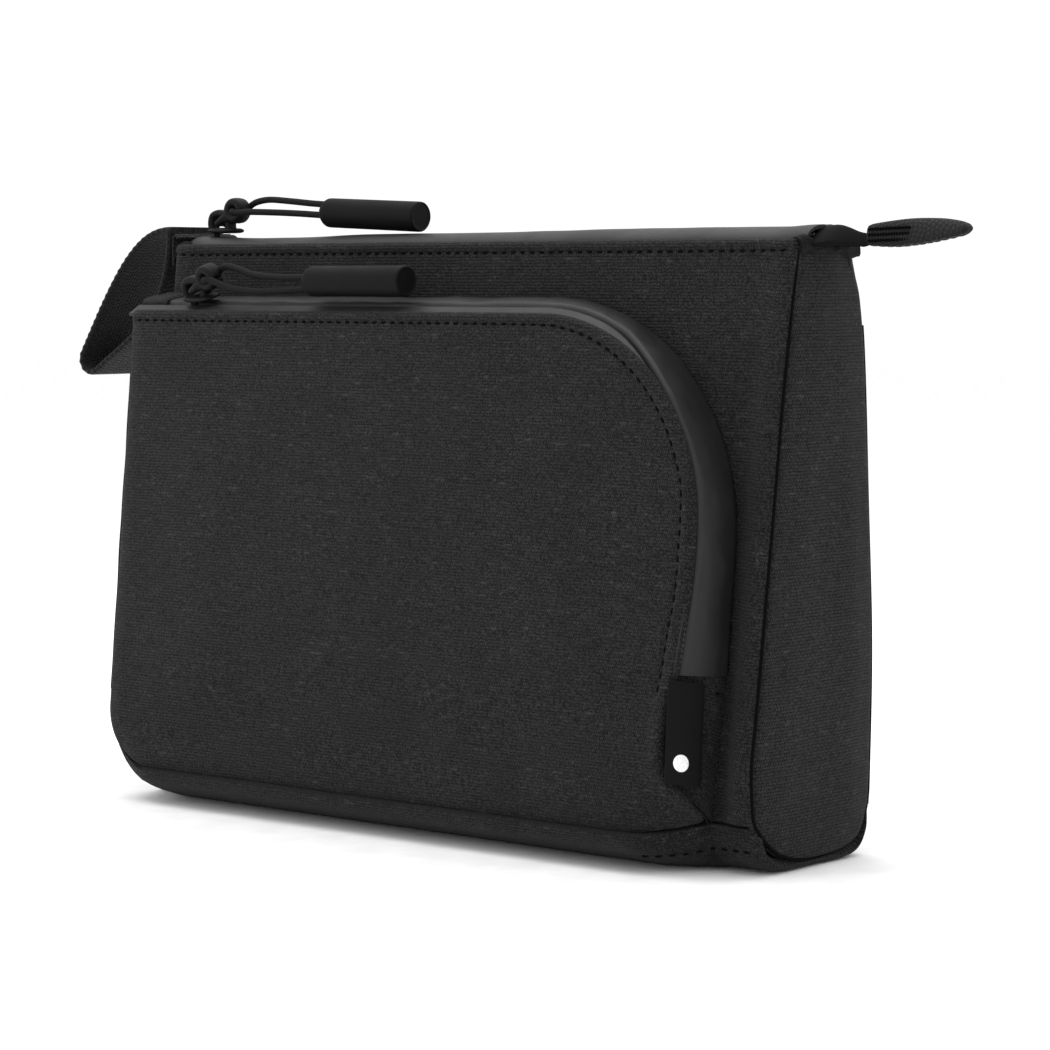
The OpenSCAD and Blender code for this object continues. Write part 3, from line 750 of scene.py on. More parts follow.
front_lining = put(lining("front_lining_cloth", front_frame, FRONT_LEN - 1.2, -7.0), "pouch",
                   ("front_lining",))
back_lining = lining("back_lining_cloth", back_frame, BACK_LEN - 1.2, 1.2)
for half in swing_back(back_lining, ("back_lining",)):
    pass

# ---------------------------------------------------------------- sides
SIDE_FRONT = curve([(-27.0, 12.2), (-28.3, 15.7), (-28.9, 26.5), (-27.4, 36.7), (-25.3, 51.2), (-22.6, 73),
                    (-17.5, 110.4), (-13.9, 132.9), (-10.9, 149.6)], 160)
SIDE_FLOOR = curve([(-27.0, 12.2), (-23.0, 8.2), (-17.1, 4.4), (-9, 2.2), (0, 1.7), (8, 2.2), (14.8, 4.2),
                    (18.6, 8), (20.4, 13)], 120)
SIDE_BACK = curve([(20.4, 13), (20.9, 19.8), (21.6, 56.4), (18.7, 108.3), (16.2, 134.8), (12.5, 149.0)], 160)
SIDE_TOP = np.array([SIDE_FRONT[-1], SIDE_BACK[-1]])


def side_cover(name, side):
    """A padded gusset, seamed all round below its bound top edge"""
    p = coons(SIDE_FLOOR, SIDE_TOP, SIDE_FRONT, SIDE_BACK, crowded(34), crowded(90))
    rim = np.vstack([SIDE_FRONT[::-1], SIDE_FLOOR, SIDE_BACK])
    d = distance_to(p, rim)
    out = 0.5 - 1.4 * (1 - quarter(d / 3.6)) - 0.9 * (1 - quarter(d / 0.8)) + 1.0 * smooth(d / 12)
    out = out + 0.35 * wrinkle(p, 0.05, 4.0 + side) - 0.8 * smooth((p[..., 1] - 138) / 10)
    outer = np.stack([side * (SEAM_X + out), p[..., 0], p[..., 1]], -1)
    inner = np.stack([side * (SEAM_X - 2.7 + 0.5 * (1 - quarter(d / 3))), p[..., 0], p[..., 1]], -1)
    return shell_between(name, outer, inner, p, FABRIC)


def side_lining(name, side):
    u, v = np.linspace(0.14, 0.86, 24), np.linspace(0.03, 0.99, 60)
    p = coons(SIDE_FLOOR, SIDE_TOP, SIDE_FRONT, SIDE_BACK, u, v)
    soft = 0.25 * wrinkle(p, 0.06, 30.0 + side)
    outer = np.stack([side * (SEAM_X - 2.85 - np.abs(soft)), p[..., 0], p[..., 1]], -1)
    inner = outer - np.array([side * 0.5, 0, 0])
    return shell_between(name, outer, inner, p, LINING)


def side_binding(name, side):
    """Tape folded over the gusset's top edge, its outer layer puckered and drooping towards the back"""
    path = curve([(106.7, 148.4), (107.1, 149.2), (107.0, 150.9), (106.4, 152.0), (105.0, 152.5),
                  (103.6, 151.6), (103.0, 148.8)], 26)
    ys = np.linspace(-11.6, 12.6, 60)
    t = np.gradient(path, axis=0)
    nrm = np.stack([-t[:, 1], t[:, 0]], -1) / np.linalg.norm(t, axis=1, keepdims=True)
    section = np.vstack([path, (path + nrm * 0.9)[::-1]])
    rings = []
    for y in ys:
        droop = 1.3 * smooth((y - 1) / 12) + 0.35 * math.sin(y * 0.9)
        shake = 0.3 * wrinkle(np.column_stack([section, np.full(len(section), y)]), 0.35, 8.0)
        rings.append([(side * (x + w), y + 0.25 * w, z - droop + w) for (x, z), w in zip(section, shake)])
    rings = np.array(rings) + [0, 0, 0.5]
    s = lengths_along(section)
    uv = np.array([[(q, y) for q in s] for y in ys])
    return loft(name, rings, uv, BINDING_PAINTED_SHADE)


for side, hand in ((-1, "left"), (1, "right")):
    cover = put(side_cover(f"{hand}_side_cover", side), "pouch",
                (f"{hand}_gusset", f"{hand}_gusset_foam"))
    inside = put(side_lining(f"{hand}_side_lining", side), "pouch", (f"{hand}_gusset_lining",))
    put(side_binding(f"{hand}_side_binding", side), "pouch", (f"{hand}_gusset_binding",))
    # Dark thread tube sunk along each side seam: the seam's stitching, and also a painted shade line for the
    # seam's crease
    rim = resample(np.vstack([SIDE_FRONT[::-1], SIDE_FLOOR[1:-1], SIDE_BACK]), np.linspace(0, 1, 400))
    inward = np.array([-3.5, 85.0]) - rim
    sunk = np.where(rim[:, :1] > 0, 0.8, 0.35)
    rim = rim + inward / np.linalg.norm(inward, axis=1, keepdims=True) * sunk
    rim = rim[(rim[:, 0] < 0) | (rim[:, 1] < 132)]
    seam = np.column_stack([np.full(len(rim), side * (SEAM_X - 0.45)), rim])
    put(tube(f"{hand}_seam_thread", seam, 0.45, THREAD, 8, 1.0), "pouch")

# ---------------------------------------------------------------- base
POCKET_PROFILE = [(-41.8, 9.3), (-40.7, 6.7), (-37.2, 4.3), (-30, 1.5), (-22, 0.1)]
BODY_PROFILE = [(-26.6, 12.0), (-26.2, 8.0), (-23.4, 3.4), (-18.5, 0.8), (-12, 0.1)]
BACK_PROFILE = [(0, 0.0), (11, 0.1), (17.6, 1.7), (21.0, 6.2), (21.3, 12.4)]
TOE = (-88.0, 26.5)
TOE_R = 17.6
CORNER_X = 76.0
CORNER_R = 16.0
CORNER_TURN = math.radians(86)
BASE_END = CORNER_X + CORNER_R * CORNER_TURN + (SEAM_X - CORNER_X - CORNER_R * math.sin(CORNER_TURN))


def base_column(s):
    """One front-to-back line of the base; s runs from the left end, in millimetres"""
    turn = np.clip((s - CORNER_X) / CORNER_R, 0, CORNER_TURN)
    w = float(smooth(turn / CORNER_TURN))
    rest = max(s - CORNER_X - CORNER_R * CORNER_TURN, 0)
    x_front = min(s, CORNER_X) + CORNER_R * math.sin(turn) + rest
    y_front = POCKET_PROFILE[0][0] + CORNER_R * (1 - math.cos(turn))
    control = [(1 - w) * np.array(a) + w * np.array(b) for a, b in zip(POCKET_PROFILE, BODY_PROFILE)]
    spread = (max(y_front, control[0][0]) - control[0][0]) if 0 < w < 1 else 0.0
    points = curve(np.vstack([control, BACK_PROFILE]), 64)
    fade = 1 - smooth((points[:, 0] - control[0][0]) / 18.0)
    points[:, 0] += spread * fade * 0.5
    x_floor = min(s, CORNER_X) + max(s - CORNER_X, 0) * (SEAM_X - CORNER_X) / (BASE_END - CORNER_X)
    x = x_floor + (x_front - x_floor) * fade
    toe = max(0.0, TOE[0] - s)
    lift = TOE_R - math.sqrt(max(TOE_R ** 2 - min(toe, TOE_R * 0.985) ** 2, 0))
    front = 1 - smooth((points[:, 0] + 30) / 10.0)
    lip = float(smooth(toe / 12)) * (1 - smooth((points[:, 0] + 41.8) / 6.0))
    points[:, 1] += lift * front - 1.5 * lip
    points[:, 0] += 2.6 * lip
    return np.column_stack([x + 1.0 * lip, points])


def base_grid():
    ss = runs((-SEAM_X, -99, 12), (-97.5, 70, 56), (72, BASE_END, 40))
    grid = np.array([base_column(s) for s in ss])
    centre = np.array([0, -2, 14.0])
    pull = 1.9 * (1 - quarter((SEAM_X - np.abs(grid[..., 0])) / 3.4))
    inward = centre - grid
    inward[..., 0] = 0
    inward /= np.linalg.norm(inward, axis=-1, keepdims=True)
    grid = grid + inward * pull[..., None]
    arc_len = lengths_along(grid, 1)
    return grid, np.stack([np.broadcast_to(ss[:, None], arc_len.shape), -arc_len], -1)


BASE, BASE_UV = base_grid()
base_cover = put(shell("base_cover", BASE, BASE_UV, -2.6, FABRIC), "pouch",
                 ("base_panel", "base_foam"))
inner = BASE + normals_of(BASE) * 2.75
base_lining = put(shell("base_lining_cloth", inner[3:-3, 2:-2], BASE_UV[3:-3, 2:-2], -0.5, LINING), "pouch",
                  ("base_lining",))

# ---------------------------------------------------------------- front pocket: its face
FACE_LEFT = -106.4
TOE_H = TOE[1] - SEAM_Z - POCKET_D * math.sin(LEAN_FRONT)
FACE_TOE_R = 17.0
DART_TOP = (88.3, 10.0)
DART_LOW = (99.7, 0.0)
FACE_EDGE = curve([DART_TOP, (86.9, 14), (86.7, 22), (88.1, 30.1), (89.1, 35.1), (90.2, 45.2), (91.5, 54),
                   (92, 62.3), (92, FACE_C[1])], 60)
toe_arc = (arc((0, 0), 1, 180, 270, 24) * [TOE[0] - FACE_LEFT, FACE_TOE_R] + [TOE[0], TOE_H])
top_arc = arc(FACE_C, FACE_R, 90, 0, 60)
FACE_SIDES = {
    "bottom": np.vstack([toe_arc[12:], [(0, -4.0), (CORNER_X, -3.7)], [DART_LOW]]),
    "right": np.vstack([[DART_LOW], FACE_EDGE, top_arc[30:][::-1]]),
    "left": np.vstack([toe_arc[12::-1], [(FACE_LEFT, 60), (FACE_LEFT, POCKET_TOP)]]),
    "top": np.vstack([[(FACE_LEFT, POCKET_TOP)], top_arc[:31]]),
}
HEM_LINE = np.vstack([[(FACE_LEFT, POCKET_TOP)], top_arc, FACE_EDGE[::-1]])
STITCH_LINE = curve(np.vstack([[(-103.4, POCKET_TOP - 3.0), (-50, POCKET_TOP - 3.0), (0, POCKET_TOP - 3.0)],
                               arc(FACE_C, FACE_R - 3.1, 90, 10, 9),
                               [(88.2, 62), (87.6, 52), (86.3, 45), (85.1, 35.5), (84.2, 30.5)]]), 420)


def face_point(u, h, out):
    """The pocket's face, which bends back round the lower right corner"""
    u, h, out = np.broadcast_arrays(np.asarray(u, float), h, out)
    bend = np.clip((18.5 - h) / 19, 0, 1) ** 2 / CORNER_R
    past = np.maximum(u - CORNER_X, 0)
    safe = np.maximum(bend, 1e-6)
    angle = past * safe
    x = np.where(past > 0, CORNER_X + np.sin(angle) / safe + out * np.sin(angle), u)
    depth = POCKET_D - (1 - np.cos(angle)) / safe * (past > 0) + out * np.cos(angle)
    return front_frame(x, depth, h)


def face_out(p):
    """How far the pocket's face stands proud, from the distances to its edges"""
    hem = distance_to(p, HEM_LINE)
    left = distance_to(p, FACE_SIDES["left"])
    low = distance_to(p, FACE_SIDES["bottom"])
    dart = distance_to(p, np.array([DART_TOP, DART_LOW]))
    near = np.minimum(np.minimum(hem, left), np.minimum(low, dart))
    out = 2.3 * smooth(near / 42)
    out = out - 1.5 * (1 - quarter(hem / 1.7))
    out = out - np.maximum(2.6 * (1 - quarter(left / 7)), 3.0 * (1 - quarter(low / 10)))
    out = out - 1.2 * (1 - quarter(dart / 2.5))
    to_stitch = distance_to(p, STITCH_LINE)
    out = out + 0.3 * (1 - smooth((hem - 3.3) / 0.8)) - 0.55 * bell(to_stitch, 0, 0.6)
    out = out + 0.4 * wrinkle(p, 0.03, 5.0) + 0.12 * wrinkle(p, 0.12, 6.0)
    return out, hem


def pocket_face():
    u = np.unique(runs((0, 0.08, 14), (0.08, 0.86, 84), (0.86, 1, 34)))
    v = np.unique(runs((0, 0.12, 18), (0.12, 0.93, 56), (0.93, 1, 24)))
    p = coons(FACE_SIDES["bottom"], FACE_SIDES["top"], FACE_SIDES["left"], FACE_SIDES["right"], u, v)
    out, hem = face_out(p)
    inner = np.minimum(-WALL + 1.5 * (1 - quarter(hem / 1.7)), out - 0.05)
    outer = face_point(p[..., 0], p[..., 1], out)
    return shell_between("pocket_face", outer, face_point(p[..., 0], p[..., 1], inner), p, FABRIC), p


face, FACE_GRID = pocket_face()
for half in swing_flap(face, ("pocket_panel", "pocket_foam")):
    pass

small = FACE_GRID[8:-14, 10:-12]
outer = face_point(small[..., 0], small[..., 1], -WALL - 0.15)
inner = face_point(small[..., 0], small[..., 1], -WALL - 0.65)
for half in swing_flap(shell_between("pocket_lining_cloth", outer, inner, small, LINING),
                       ("pocket_lining",)):
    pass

stitch_out, _ = face_out(STITCH_LINE[:, None])
at = face_point(STITCH_LINE[:, 0], STITCH_LINE[:, 1], stitch_out[:, 0] + 0.14)
swing_flap(stitch_row("pocket_hem_stitches", at, FRONT_OUT))

# ---------------------------------------------------------------- front pocket: zip band, ends and label

def band_stations():
    """[point at the body, point at the face, outward direction] along the zip"""
    n = np.linspace(0, 1, 56)[:, None]
    start = FACE_LEFT - 0.5
    body = [np.hstack([start + n * (BAND_C[0] - start), np.full_like(n, BAND_TOP)])]
    face_side = [np.hstack([start + n * (FACE_C[0] - start), np.full_like(n, POCKET_TOP)])]
    out = [np.tile([0.0, 1.0], (56, 1))]
    a = np.radians(np.linspace(90, 0, 64)[1:])
    way = np.stack([np.cos(a), np.sin(a)], -1)
    body.append(np.array(BAND_C) + BAND_R * way)
    face_side.append(np.array(FACE_C) + FACE_R * way)
    out.append(way)
    n = np.linspace(0, 1, 25)[1:, None]
    body.append(np.hstack([np.full_like(n, POCKET_RIGHT), BAND_C[1] + n * (ZIP_END - BAND_C[1])]))
    face_side.append(np.hstack([92 - 3 * n ** 2, FACE_C[1] + n * (ZIP_END - FACE_C[1])]))
    out.append(np.tile([1.0, 0.0], (24, 1)))
    return np.vstack(body), np.vstack(face_side), np.vstack(out)


BAND_BODY, BAND_FACE, BAND_OUT = band_stations()
BAND_S = lengths_along(BAND_BODY)
TURN = np.degrees(np.arctan2(BAND_OUT[:, 1], BAND_OUT[:, 0]))
SLIT = SLIT_D + 4.0 * smooth((70 - TURN) / 34)


def band_point(d, out):
    """Band surface at depths d (one row per station) and offsets outwards"""
    t = (d / POCKET_D)[..., None]
    flat = BAND_BODY[:, None] * (1 - t) + BAND_FACE[:, None] * t + BAND_OUT[:, None] * out[..., None]
    return front_frame(flat[..., 0], d, flat[..., 1])


def band_piece(name, d, out, thickness):
    uv = np.stack([np.broadcast_to(BAND_S[:, None], d.shape), d], -1)
    return shell_between(name, band_point(d, out), band_point(d, out - thickness), uv, COATED)


def bulge(d):
    return 1.0 * np.sin(np.pi * np.clip(d / POCKET_D, 0, 1))


share = runs((0, 0.2, 12), (0.24, 0.86, 14), (0.88, 1, 9))[None, :]
d = share * (SLIT[:, None] - 0.5)
spread = np.stack([np.broadcast_to(BAND_S[:, None], d.shape), d], -1)
pucker = 0.35 * wrinkle(spread, 0.09, 12.0) + 0.16 * wrinkle(spread, 0.3, 13.0)
out = (bulge(d) + 0.15 * bell(d, 1.6, 1.2) - 1.5 * (1 - quarter(d / 1.6))
       - 0.9 * (1 - quarter((SLIT[:, None] - 0.5 - d) / 1.0)) + pucker * smooth(d / 2))
put(band_piece("pocket_band_outer", d, out, 0.9), "pouch", ("pocket_tape_outer",))

share = np.linspace(0, 1, 12)[None, :]
start = SLIT[:, None] + 0.5
d = start + share * (np.maximum(15.2, start + 0.7) - start)
out = bulge(d) - 0.9 * (1 - quarter((d - start) / 0.8)) - 0.5 - 0.9 * smooth((d - start) / 4.5)
swing_flap(band_piece("pocket_band_inner", d, out, 0.8), ("pocket_tape_inner",))


def coil_tube(name, path, radius=0.85, pitch=1.35):
    """A nylon coil: a tube whose radius swells at every turn"""
    n = max(int(length_of(path) / (pitch / 4)), 8)
    path = resample(path, np.linspace(0, 1, n))
    s = np.linspace(0, length_of(path), n)
    return tube(name, path, radius * (1 + 0.2 * np.cos(2 * np.pi * s / pitch)), NYLON, 8, 1.0)


def band_line(d, out):
    d = np.broadcast_to(np.asarray(d, float), (len(BAND_S),))
    return band_point(d[:, None], np.full((len(BAND_S), 1), out))[:, 0]


put(coil_tube("pocket_coil_outer_turns", band_line(np.minimum(SLIT - 2.4, 12), -0.9)), "pouch",
    ("pocket_coil_outer",))
swing_flap(coil_tube("pocket_coil_inner_turns", band_line(np.minimum(SLIT + 1.2, 13.6), -1.6)),
           ("pocket_coil_inner",))

COVER_RIGHT, COVER_D = -97.0, 11.2
strip_x, strip_d = np.meshgrid(np.linspace(-106.2, COVER_RIGHT, 12), np.linspace(0.0, COVER_D, 26),
                               indexing="ij")
lift = (bulge(strip_d) + 0.75 + 0.5 * bell(strip_d, 1.6, 1.2) - 1.8 * (1 - quarter(strip_d / 1.2))
        - 1.2 * (1 - quarter((COVER_D - strip_d) / 1.0)) - 0.5 * (1 - quarter((COVER_RIGHT - strip_x) / 0.8)))
high = BAND_TOP + (POCKET_TOP - BAND_TOP) * strip_d / POCKET_D + lift
cover = shell_between("pocket_zip_cover_cloth", front_frame(strip_x, strip_d, high),
                      front_frame(strip_x, strip_d, high - 0.9), np.stack([strip_x, strip_d], -1), FABRIC)
put(cover, "pouch", ("pocket_zip_cover",))


def pocket_left_side():
    """The pocket's left end, from its face back to the body"""
    hs = np.linspace(8, 125.5, 60)
    t = np.linspace(0, 1, 14)
    H, T = np.meshgrid(hs, t, indexing="ij")
    depth = 14.2 * (1 - T) + 0.2 * T
    top = POCKET_TOP - 0.6 + 4.6 * T
    H = 8 + 9 * (1 - T) + (H - 8) / (125.5 - 8) * (top - 8 - 9 * (1 - T))
    soft = 0.3 * wrinkle(np.stack([H, depth], -1), 0.08, 3.0)
    x = FACE_LEFT + 0.2 - 0.6 * T - 1.3 * np.sin(np.pi * T) ** 0.8 - soft
    outer = front_frame(x, depth, H)
    return shell_between("pocket_left_side", outer, outer + [2.4, 0, 0], np.stack([depth, H], -1), FABRIC)


put(pocket_left_side(), "pouch", ("pocket_left_gusset",))


def end_surface(t, v, out=0.0):
    """The pocket's right end: t from its face to the body, v from the dart up to the zip's end"""
    edge_h = DART_TOP[1] + 0.6 + v * (ZIP_END + 0.6 - DART_TOP[1])
    edge_u = np.interp(edge_h, FACE_EDGE[:, 1], FACE_EDGE[:, 0])
    a = face_point(edge_u - 0.9, edge_h, -1.4)
    b_h = -0.2 + v * (ZIP_END + 0.6 + 0.2)
    b = front_frame(POCKET_RIGHT + 0.2 - 1.6 * (1 - v) ** 2, 0.1, b_h)
    t3 = np.asarray(t)[..., None]
    p = a * (1 - t3) + b * t3
    along = b - a
    away = np.stack([-along[..., 1], along[..., 0], np.zeros_like(along[..., 0])], -1)
    away /= np.linalg.norm(away, axis=-1, keepdims=True)
    away = np.where(away[..., :1] < 0, -away, away)
    hollow = 0.9 * np.sin(np.pi * np.clip(t, 0, 1)) - 1.6 * smooth((t - 0.72) / 0.28) + out
    return p + away * np.asarray(hollow)[..., None]


T, V = np.meshgrid(np.linspace(0, 1, 22), np.linspace(0, 1, 34), indexing="ij")
fold = -0.5 * bell(V, (43.5 - 12.6) / (ZIP_END + 0.6), 0.025)
end_outer = end_surface(T, V, fold)
end_inner = end_surface(T, V, fold - 1.4)
put(shell_between("pocket_right_end", end_outer, end_inner, np.stack([T * 16, V * 36], -1), FABRIC), "pouch",
    ("pocket_right_gusset",))
put(stitch_row("pocket_end_stitches", end_surface(np.linspace(0.62, 0.97, 30), np.full(30, 0.86), -0.25),
               (0.92, -0.38, 0)), "pouch")

# The dart below the pocket's right end, where its face folds under
dart_line = face_point(*np.moveaxis(resample([DART_TOP, DART_LOW], np.linspace(0, 1, 24)), -1, 0), -1.3)
end_line = end_surface(np.linspace(0, 1, 24), np.zeros(24), -0.8)
T = np.linspace(0, 1, 8)[None, :, None]
fold_grid = dart_line[:, None] * (1 - T) + end_line[:, None] * T + [-0.6, 0.6, 0] * np.sin(np.pi * T)
fold_uv = np.stack(np.broadcast_arrays(np.arange(24)[:, None] * 0.8, T[..., 0] * 4.0), -1)
put(shell_between("pocket_corner_fold", fold_grid, fold_grid + [-1.1, 0.9, 0.0], fold_uv, FABRIC), "pouch",
    ("pocket_corner",))

LABEL_CORNERS = np.array([[88.7, -41.2, 23.2], [92.5, -32.0, 21.8], [89.1, -40.2, 47.9], [92.9, -31.0, 46.6]])
LABEL_OUT = np.array([0.92, -0.38, 0.0])
LABEL_W, LABEL_H = 10, 25


def on_label(s, t, out):
    """A point on the label: s across it, t up it"""
    s, t, out = np.broadcast_arrays(s, t, out)
    s, t, out = s[..., None], t[..., None], out[..., None]
    c = LABEL_CORNERS
    flat = (c[0] * (1 - s) + c[1] * s) * (1 - t) + (c[2] * (1 - s) + c[3] * s) * t
    return flat + LABEL_OUT * (out + 0.5 * np.sin(np.pi * s))


S, T = np.meshgrid(np.linspace(0, 1, 16), np.linspace(0, 1, 32), indexing="ij")
edge = 0.25 * (1 - quarter(np.minimum(np.minimum(S, 1 - S) * LABEL_W, np.minimum(T, 1 - T) * LABEL_H) / 0.5))
label = shell_between("side_label", on_label(S, T, 0.7 - edge), on_label(S, T, 0.15),
                      np.stack([S * LABEL_W, T * LABEL_H], -1), SATIN)
put(label, "pouch", ("label",))

MARK_R = 2.1
MARK_AT = (3.9, 5.4)
r = np.array([0, 0.5, 0.85, 0.96, 1.0])[:, None]
MARK_N = 40
phi = np.linspace(0, 2 * np.pi, MARK_N, endpoint=False)[None, :]
mark_s = (MARK_AT[0] + MARK_R * r * np.cos(phi)) / LABEL_W
mark_t = (MARK_AT[1] + MARK_R * r * np.sin(phi)) / LABEL_H
top = on_label(mark_s, mark_t, 0.8 - 0.1 * (r > 0.98))
under = on_label(mark_s, mark_t, 0.55)
points = np.concatenate([top.reshape(-1, 3), under.reshape(-1, 3)])
faces = grid_faces(len(r), MARK_N, wrap=True) + grid_faces(len(r), MARK_N, wrap=True, start=top.size // 3)
for j in range(MARK_N):
    a, b = [(len(r) - 1) * MARK_N + k % MARK_N for k in (j, j + 1)]
    faces.append((a, b, b + top.size // 3, a + top.size // 3))
uv = np.concatenate([np.stack([mark_s * LABEL_W, mark_t * LABEL_H], -1).reshape(-1, 2)] * 2)
put(make("label_dot", points, faces, uv, WHITE), "pouch")

# ---------------------------------------------------------------- top zip
def ridge(x):
    """Height of the top zip's middle, which dips beside its slider and swells towards the right"""
    return RIDGE_Z - 0.8 * bell(x, -76, 20) + 0.6 * smooth((x + 10) / 70) + 0.35 * smooth((x - 96) / 8)


def main_tape(name, side):
    xs = np.linspace(-HALF_W, HALF_W, 110)
    section = curve([(0.55, -0.35), (0.9, -0.05), (2.4, -0.1), (4.8, -0.5), (7.0, -1.5), (8.3, -2.9),
                     (8.7, -4.6)], 22)
    soft = 0.2 * wrinkle(np.stack(np.meshgrid(xs, section[:, 0] * side, indexing="ij"), -1), 0.06, 14.0)
    y = np.broadcast_to(side * section[:, 0], (len(xs), 22))
    z = ridge(xs)[:, None] + section[:, 1] + soft
    x = np.broadcast_to(xs[:, None], y.shape)
    outer = np.stack([x, y, z], -1)
    inner = outer - np.array([0, 0, TAPE_T])
    inner[..., 1] -= side * 0.5 * smooth((np.abs(y) - 7) / 1.5)
    return shell_between(name, outer, inner, np.stack([x, y], -1), COATED)


def main_coil(name, side):
    xs = np.linspace(-HALF_W + 1, HALF_W - 4, 120)
    return coil_tube(name, np.stack([xs, np.full_like(xs, side * 1.65), ridge(xs) - 2.6], -1))


put(main_tape("main_tape_front_half", -1), "pouch", ("main_tape_front",))
swing_back(main_tape("main_tape_back_half", 1), ("main_tape_back",))
put(main_coil("main_coil_front_turns", -1), "pouch", ("main_coil_front",))
swing_back(main_coil("main_coil_back_turns", 1), ("main_coil_back",))

# ---------------------------------------------------------------- sliders and links
def solid_box(centre, size, round_by):
    bm = bmesh.new()
    bmesh.ops.create_cube(bm, size=1.0)
    for v in bm.verts:
        v.co = Vector([(centre[k] + v.co[k] * size[k]) * MM for k in range(3)])
    bmesh.ops.bevel(bm, geom=bm.edges[:], offset=round_by * MM, segments=3, affect="EDGES", profile=0.5)
    return add_mesh("part", bm)


def bar(path, radius):
    return tube("part", path, radius, None, 14, 0.8)


def turned(points, tilt, origin):
    """Turns points about X and moves them"""
    points = np.asarray(points, float)
    c, s = math.cos(tilt), math.sin(tilt)
    y = points[..., 1] * c - points[..., 2] * s
    z = points[..., 1] * s + points[..., 2] * c
    return np.stack([points[..., 0], y, z], -1) + np.asarray(origin, float)


def place_piece(obj, tilt, origin):
    """Turns a whole piece about X and moves it, in its mesh"""
    co = np.empty(len(obj.data.vertices) * 3)
    obj.data.vertices.foreach_get("co", co)
    moved = turned(co.reshape(-1, 3) / MM, tilt, origin) * MM
    obj.data.vertices.foreach_set("co", moved.ravel())
    obj.data.update()
    return obj


def loop_path(centre, radius, n, end):
    ring = arc(centre[[0, 2]], radius, 0, end, n)
    return np.stack([ring[:, 0], np.full(n, centre[1]), ring[:, 1]], -1)


PLATE_GAP = 0.7
PIVOT = np.array([-2.0, 0.0, 2.7])
LINK_LEN = 7.2
LINK_ANGLE = math.radians(30)
EYE = PIVOT + LINK_LEN * np.array([math.cos(LINK_ANGLE), 0, math.sin(LINK_ANGLE)])


def slider_parts(name):
    """Slider with a rolled upper plate, a crown over it and a lower plate"""
    parts = []
    outline = curve([(-5.0, 0.2), (-4.9, 2.4), (-3.2, 3.8), (0.5, 3.9), (3.6, 3.2), (5.0, 1.6),
                     (5.2, 0.0)], 30)
    outline = np.vstack([outline, (outline * [1, -1])[::-1]])
    for z, t in ((0.0, 1.15), (-5.7, 1.15)):
        rings = []
        for k, h in ((0.86, 0.0), (1.0, 0.3), (1.0, t - 0.35), (0.86, t)):
            rise = 0.25 * (outline[:, 0] / 5) ** 2
            rings.append(np.column_stack([outline * k, z + h + rise]))
        parts.append(loft("part", rings, np.zeros((4, len(outline), 2)), None))
    parts.append(solid_box((-3.7, 0, -2.6), (2.0, 0.9, 5.4), 0.2))
    crown = curve([(-4.6, 0, 0.6), (-5.2, 0, 2.8), (-4.5, 0, 4.9), (-2.0, 0, 5.6), (0.4, 0, 5.0),
                   (1.5, 0, 3.0), (1.6, 0, 0.7)], 40)
    for y in (-0.7, 0, 0.7):
        parts.append(bar(crown + [0, y, 0], 1.1))
    return fuse(name, parts)


def link_parts(name):
    """Cast link: a ring round the crown, a neck and a ring for the cord"""
    c, s = math.cos(LINK_ANGLE), math.sin(LINK_ANGLE)
    way = np.array([c, 0, s])
    parts = []
    across = np.array([-s, 0, c])
    for y in (-1.5, 1.5):
        side = np.array([0, y, 0])
        for path in ([side - way * 0.5, side + way * 2.4, side * 0.9 + way * 5.0],
                     [side * 0.9 + way * 2.8 - across * 0.5, side * 0.8 + way * 5.4 - across * 1.3]):
            parts.append(bar(PIVOT + path, 1.2))
    parts.append(bar([PIVOT + [0, -1.5, 0], PIVOT, PIVOT + [0, 1.5, 0]], 0.78))
    for y in (-1.35, -0.45, 0.45, 1.35):
        parts.append(bar(loop_path(EYE + [0, y, 0], 2.35, 36, 352), 1.33 - 0.12 * abs(y)))
    return fuse(name, parts)


POCKET_TILT = math.atan((BAND_TOP - POCKET_TOP) / POCKET_D
                        - math.pi / POCKET_D * math.cos(math.pi * SLIT_D / POCKET_D)) - LEAN_FRONT
slit_top = BAND_TOP + (POCKET_TOP - BAND_TOP) * SLIT_D / POCKET_D + math.sin(math.pi * SLIT_D / POCKET_D)
slit_at = front_frame(0, SLIT_D, slit_top)
main_x = (SLIDER_LOW[0] + SLIDER_HIGH[0]) / 2
pocket_x = (POCKET_SLIDER_LOW[0] + POCKET_SLIDER_HIGH[0]) / 2
lifted = turned([0, 0, PLATE_GAP], POCKET_TILT, [0, 0, 0])
MAIN_AT = (0.0, np.array([main_x, 0, RIDGE_Z + PLATE_GAP]))
POCKET_AT = (POCKET_TILT, slit_at + [pocket_x, 0, 0] + lifted)


# ---------------------------------------------------------------- pulls
CORD_R = 0.9
GRIP_R = 4.0


def pull_cord(name, high, low, place_at):
    """One cord through the link's eye, both ends going into the grip; high and low are its two strands"""
    strand = np.vstack([high[::-1], [(0.5, 2.4, 0.3), (-0.1, 1.2, 0.0), (-0.2, 0, 0), (-0.1, -1.2, 0.0),
                                     (0.5, -2.5, -0.3)], low])
    path = turned(curve(strand, 150) + EYE, *place_at)
    return tube(name, path, CORD_R, CORD, 14, 1.0)


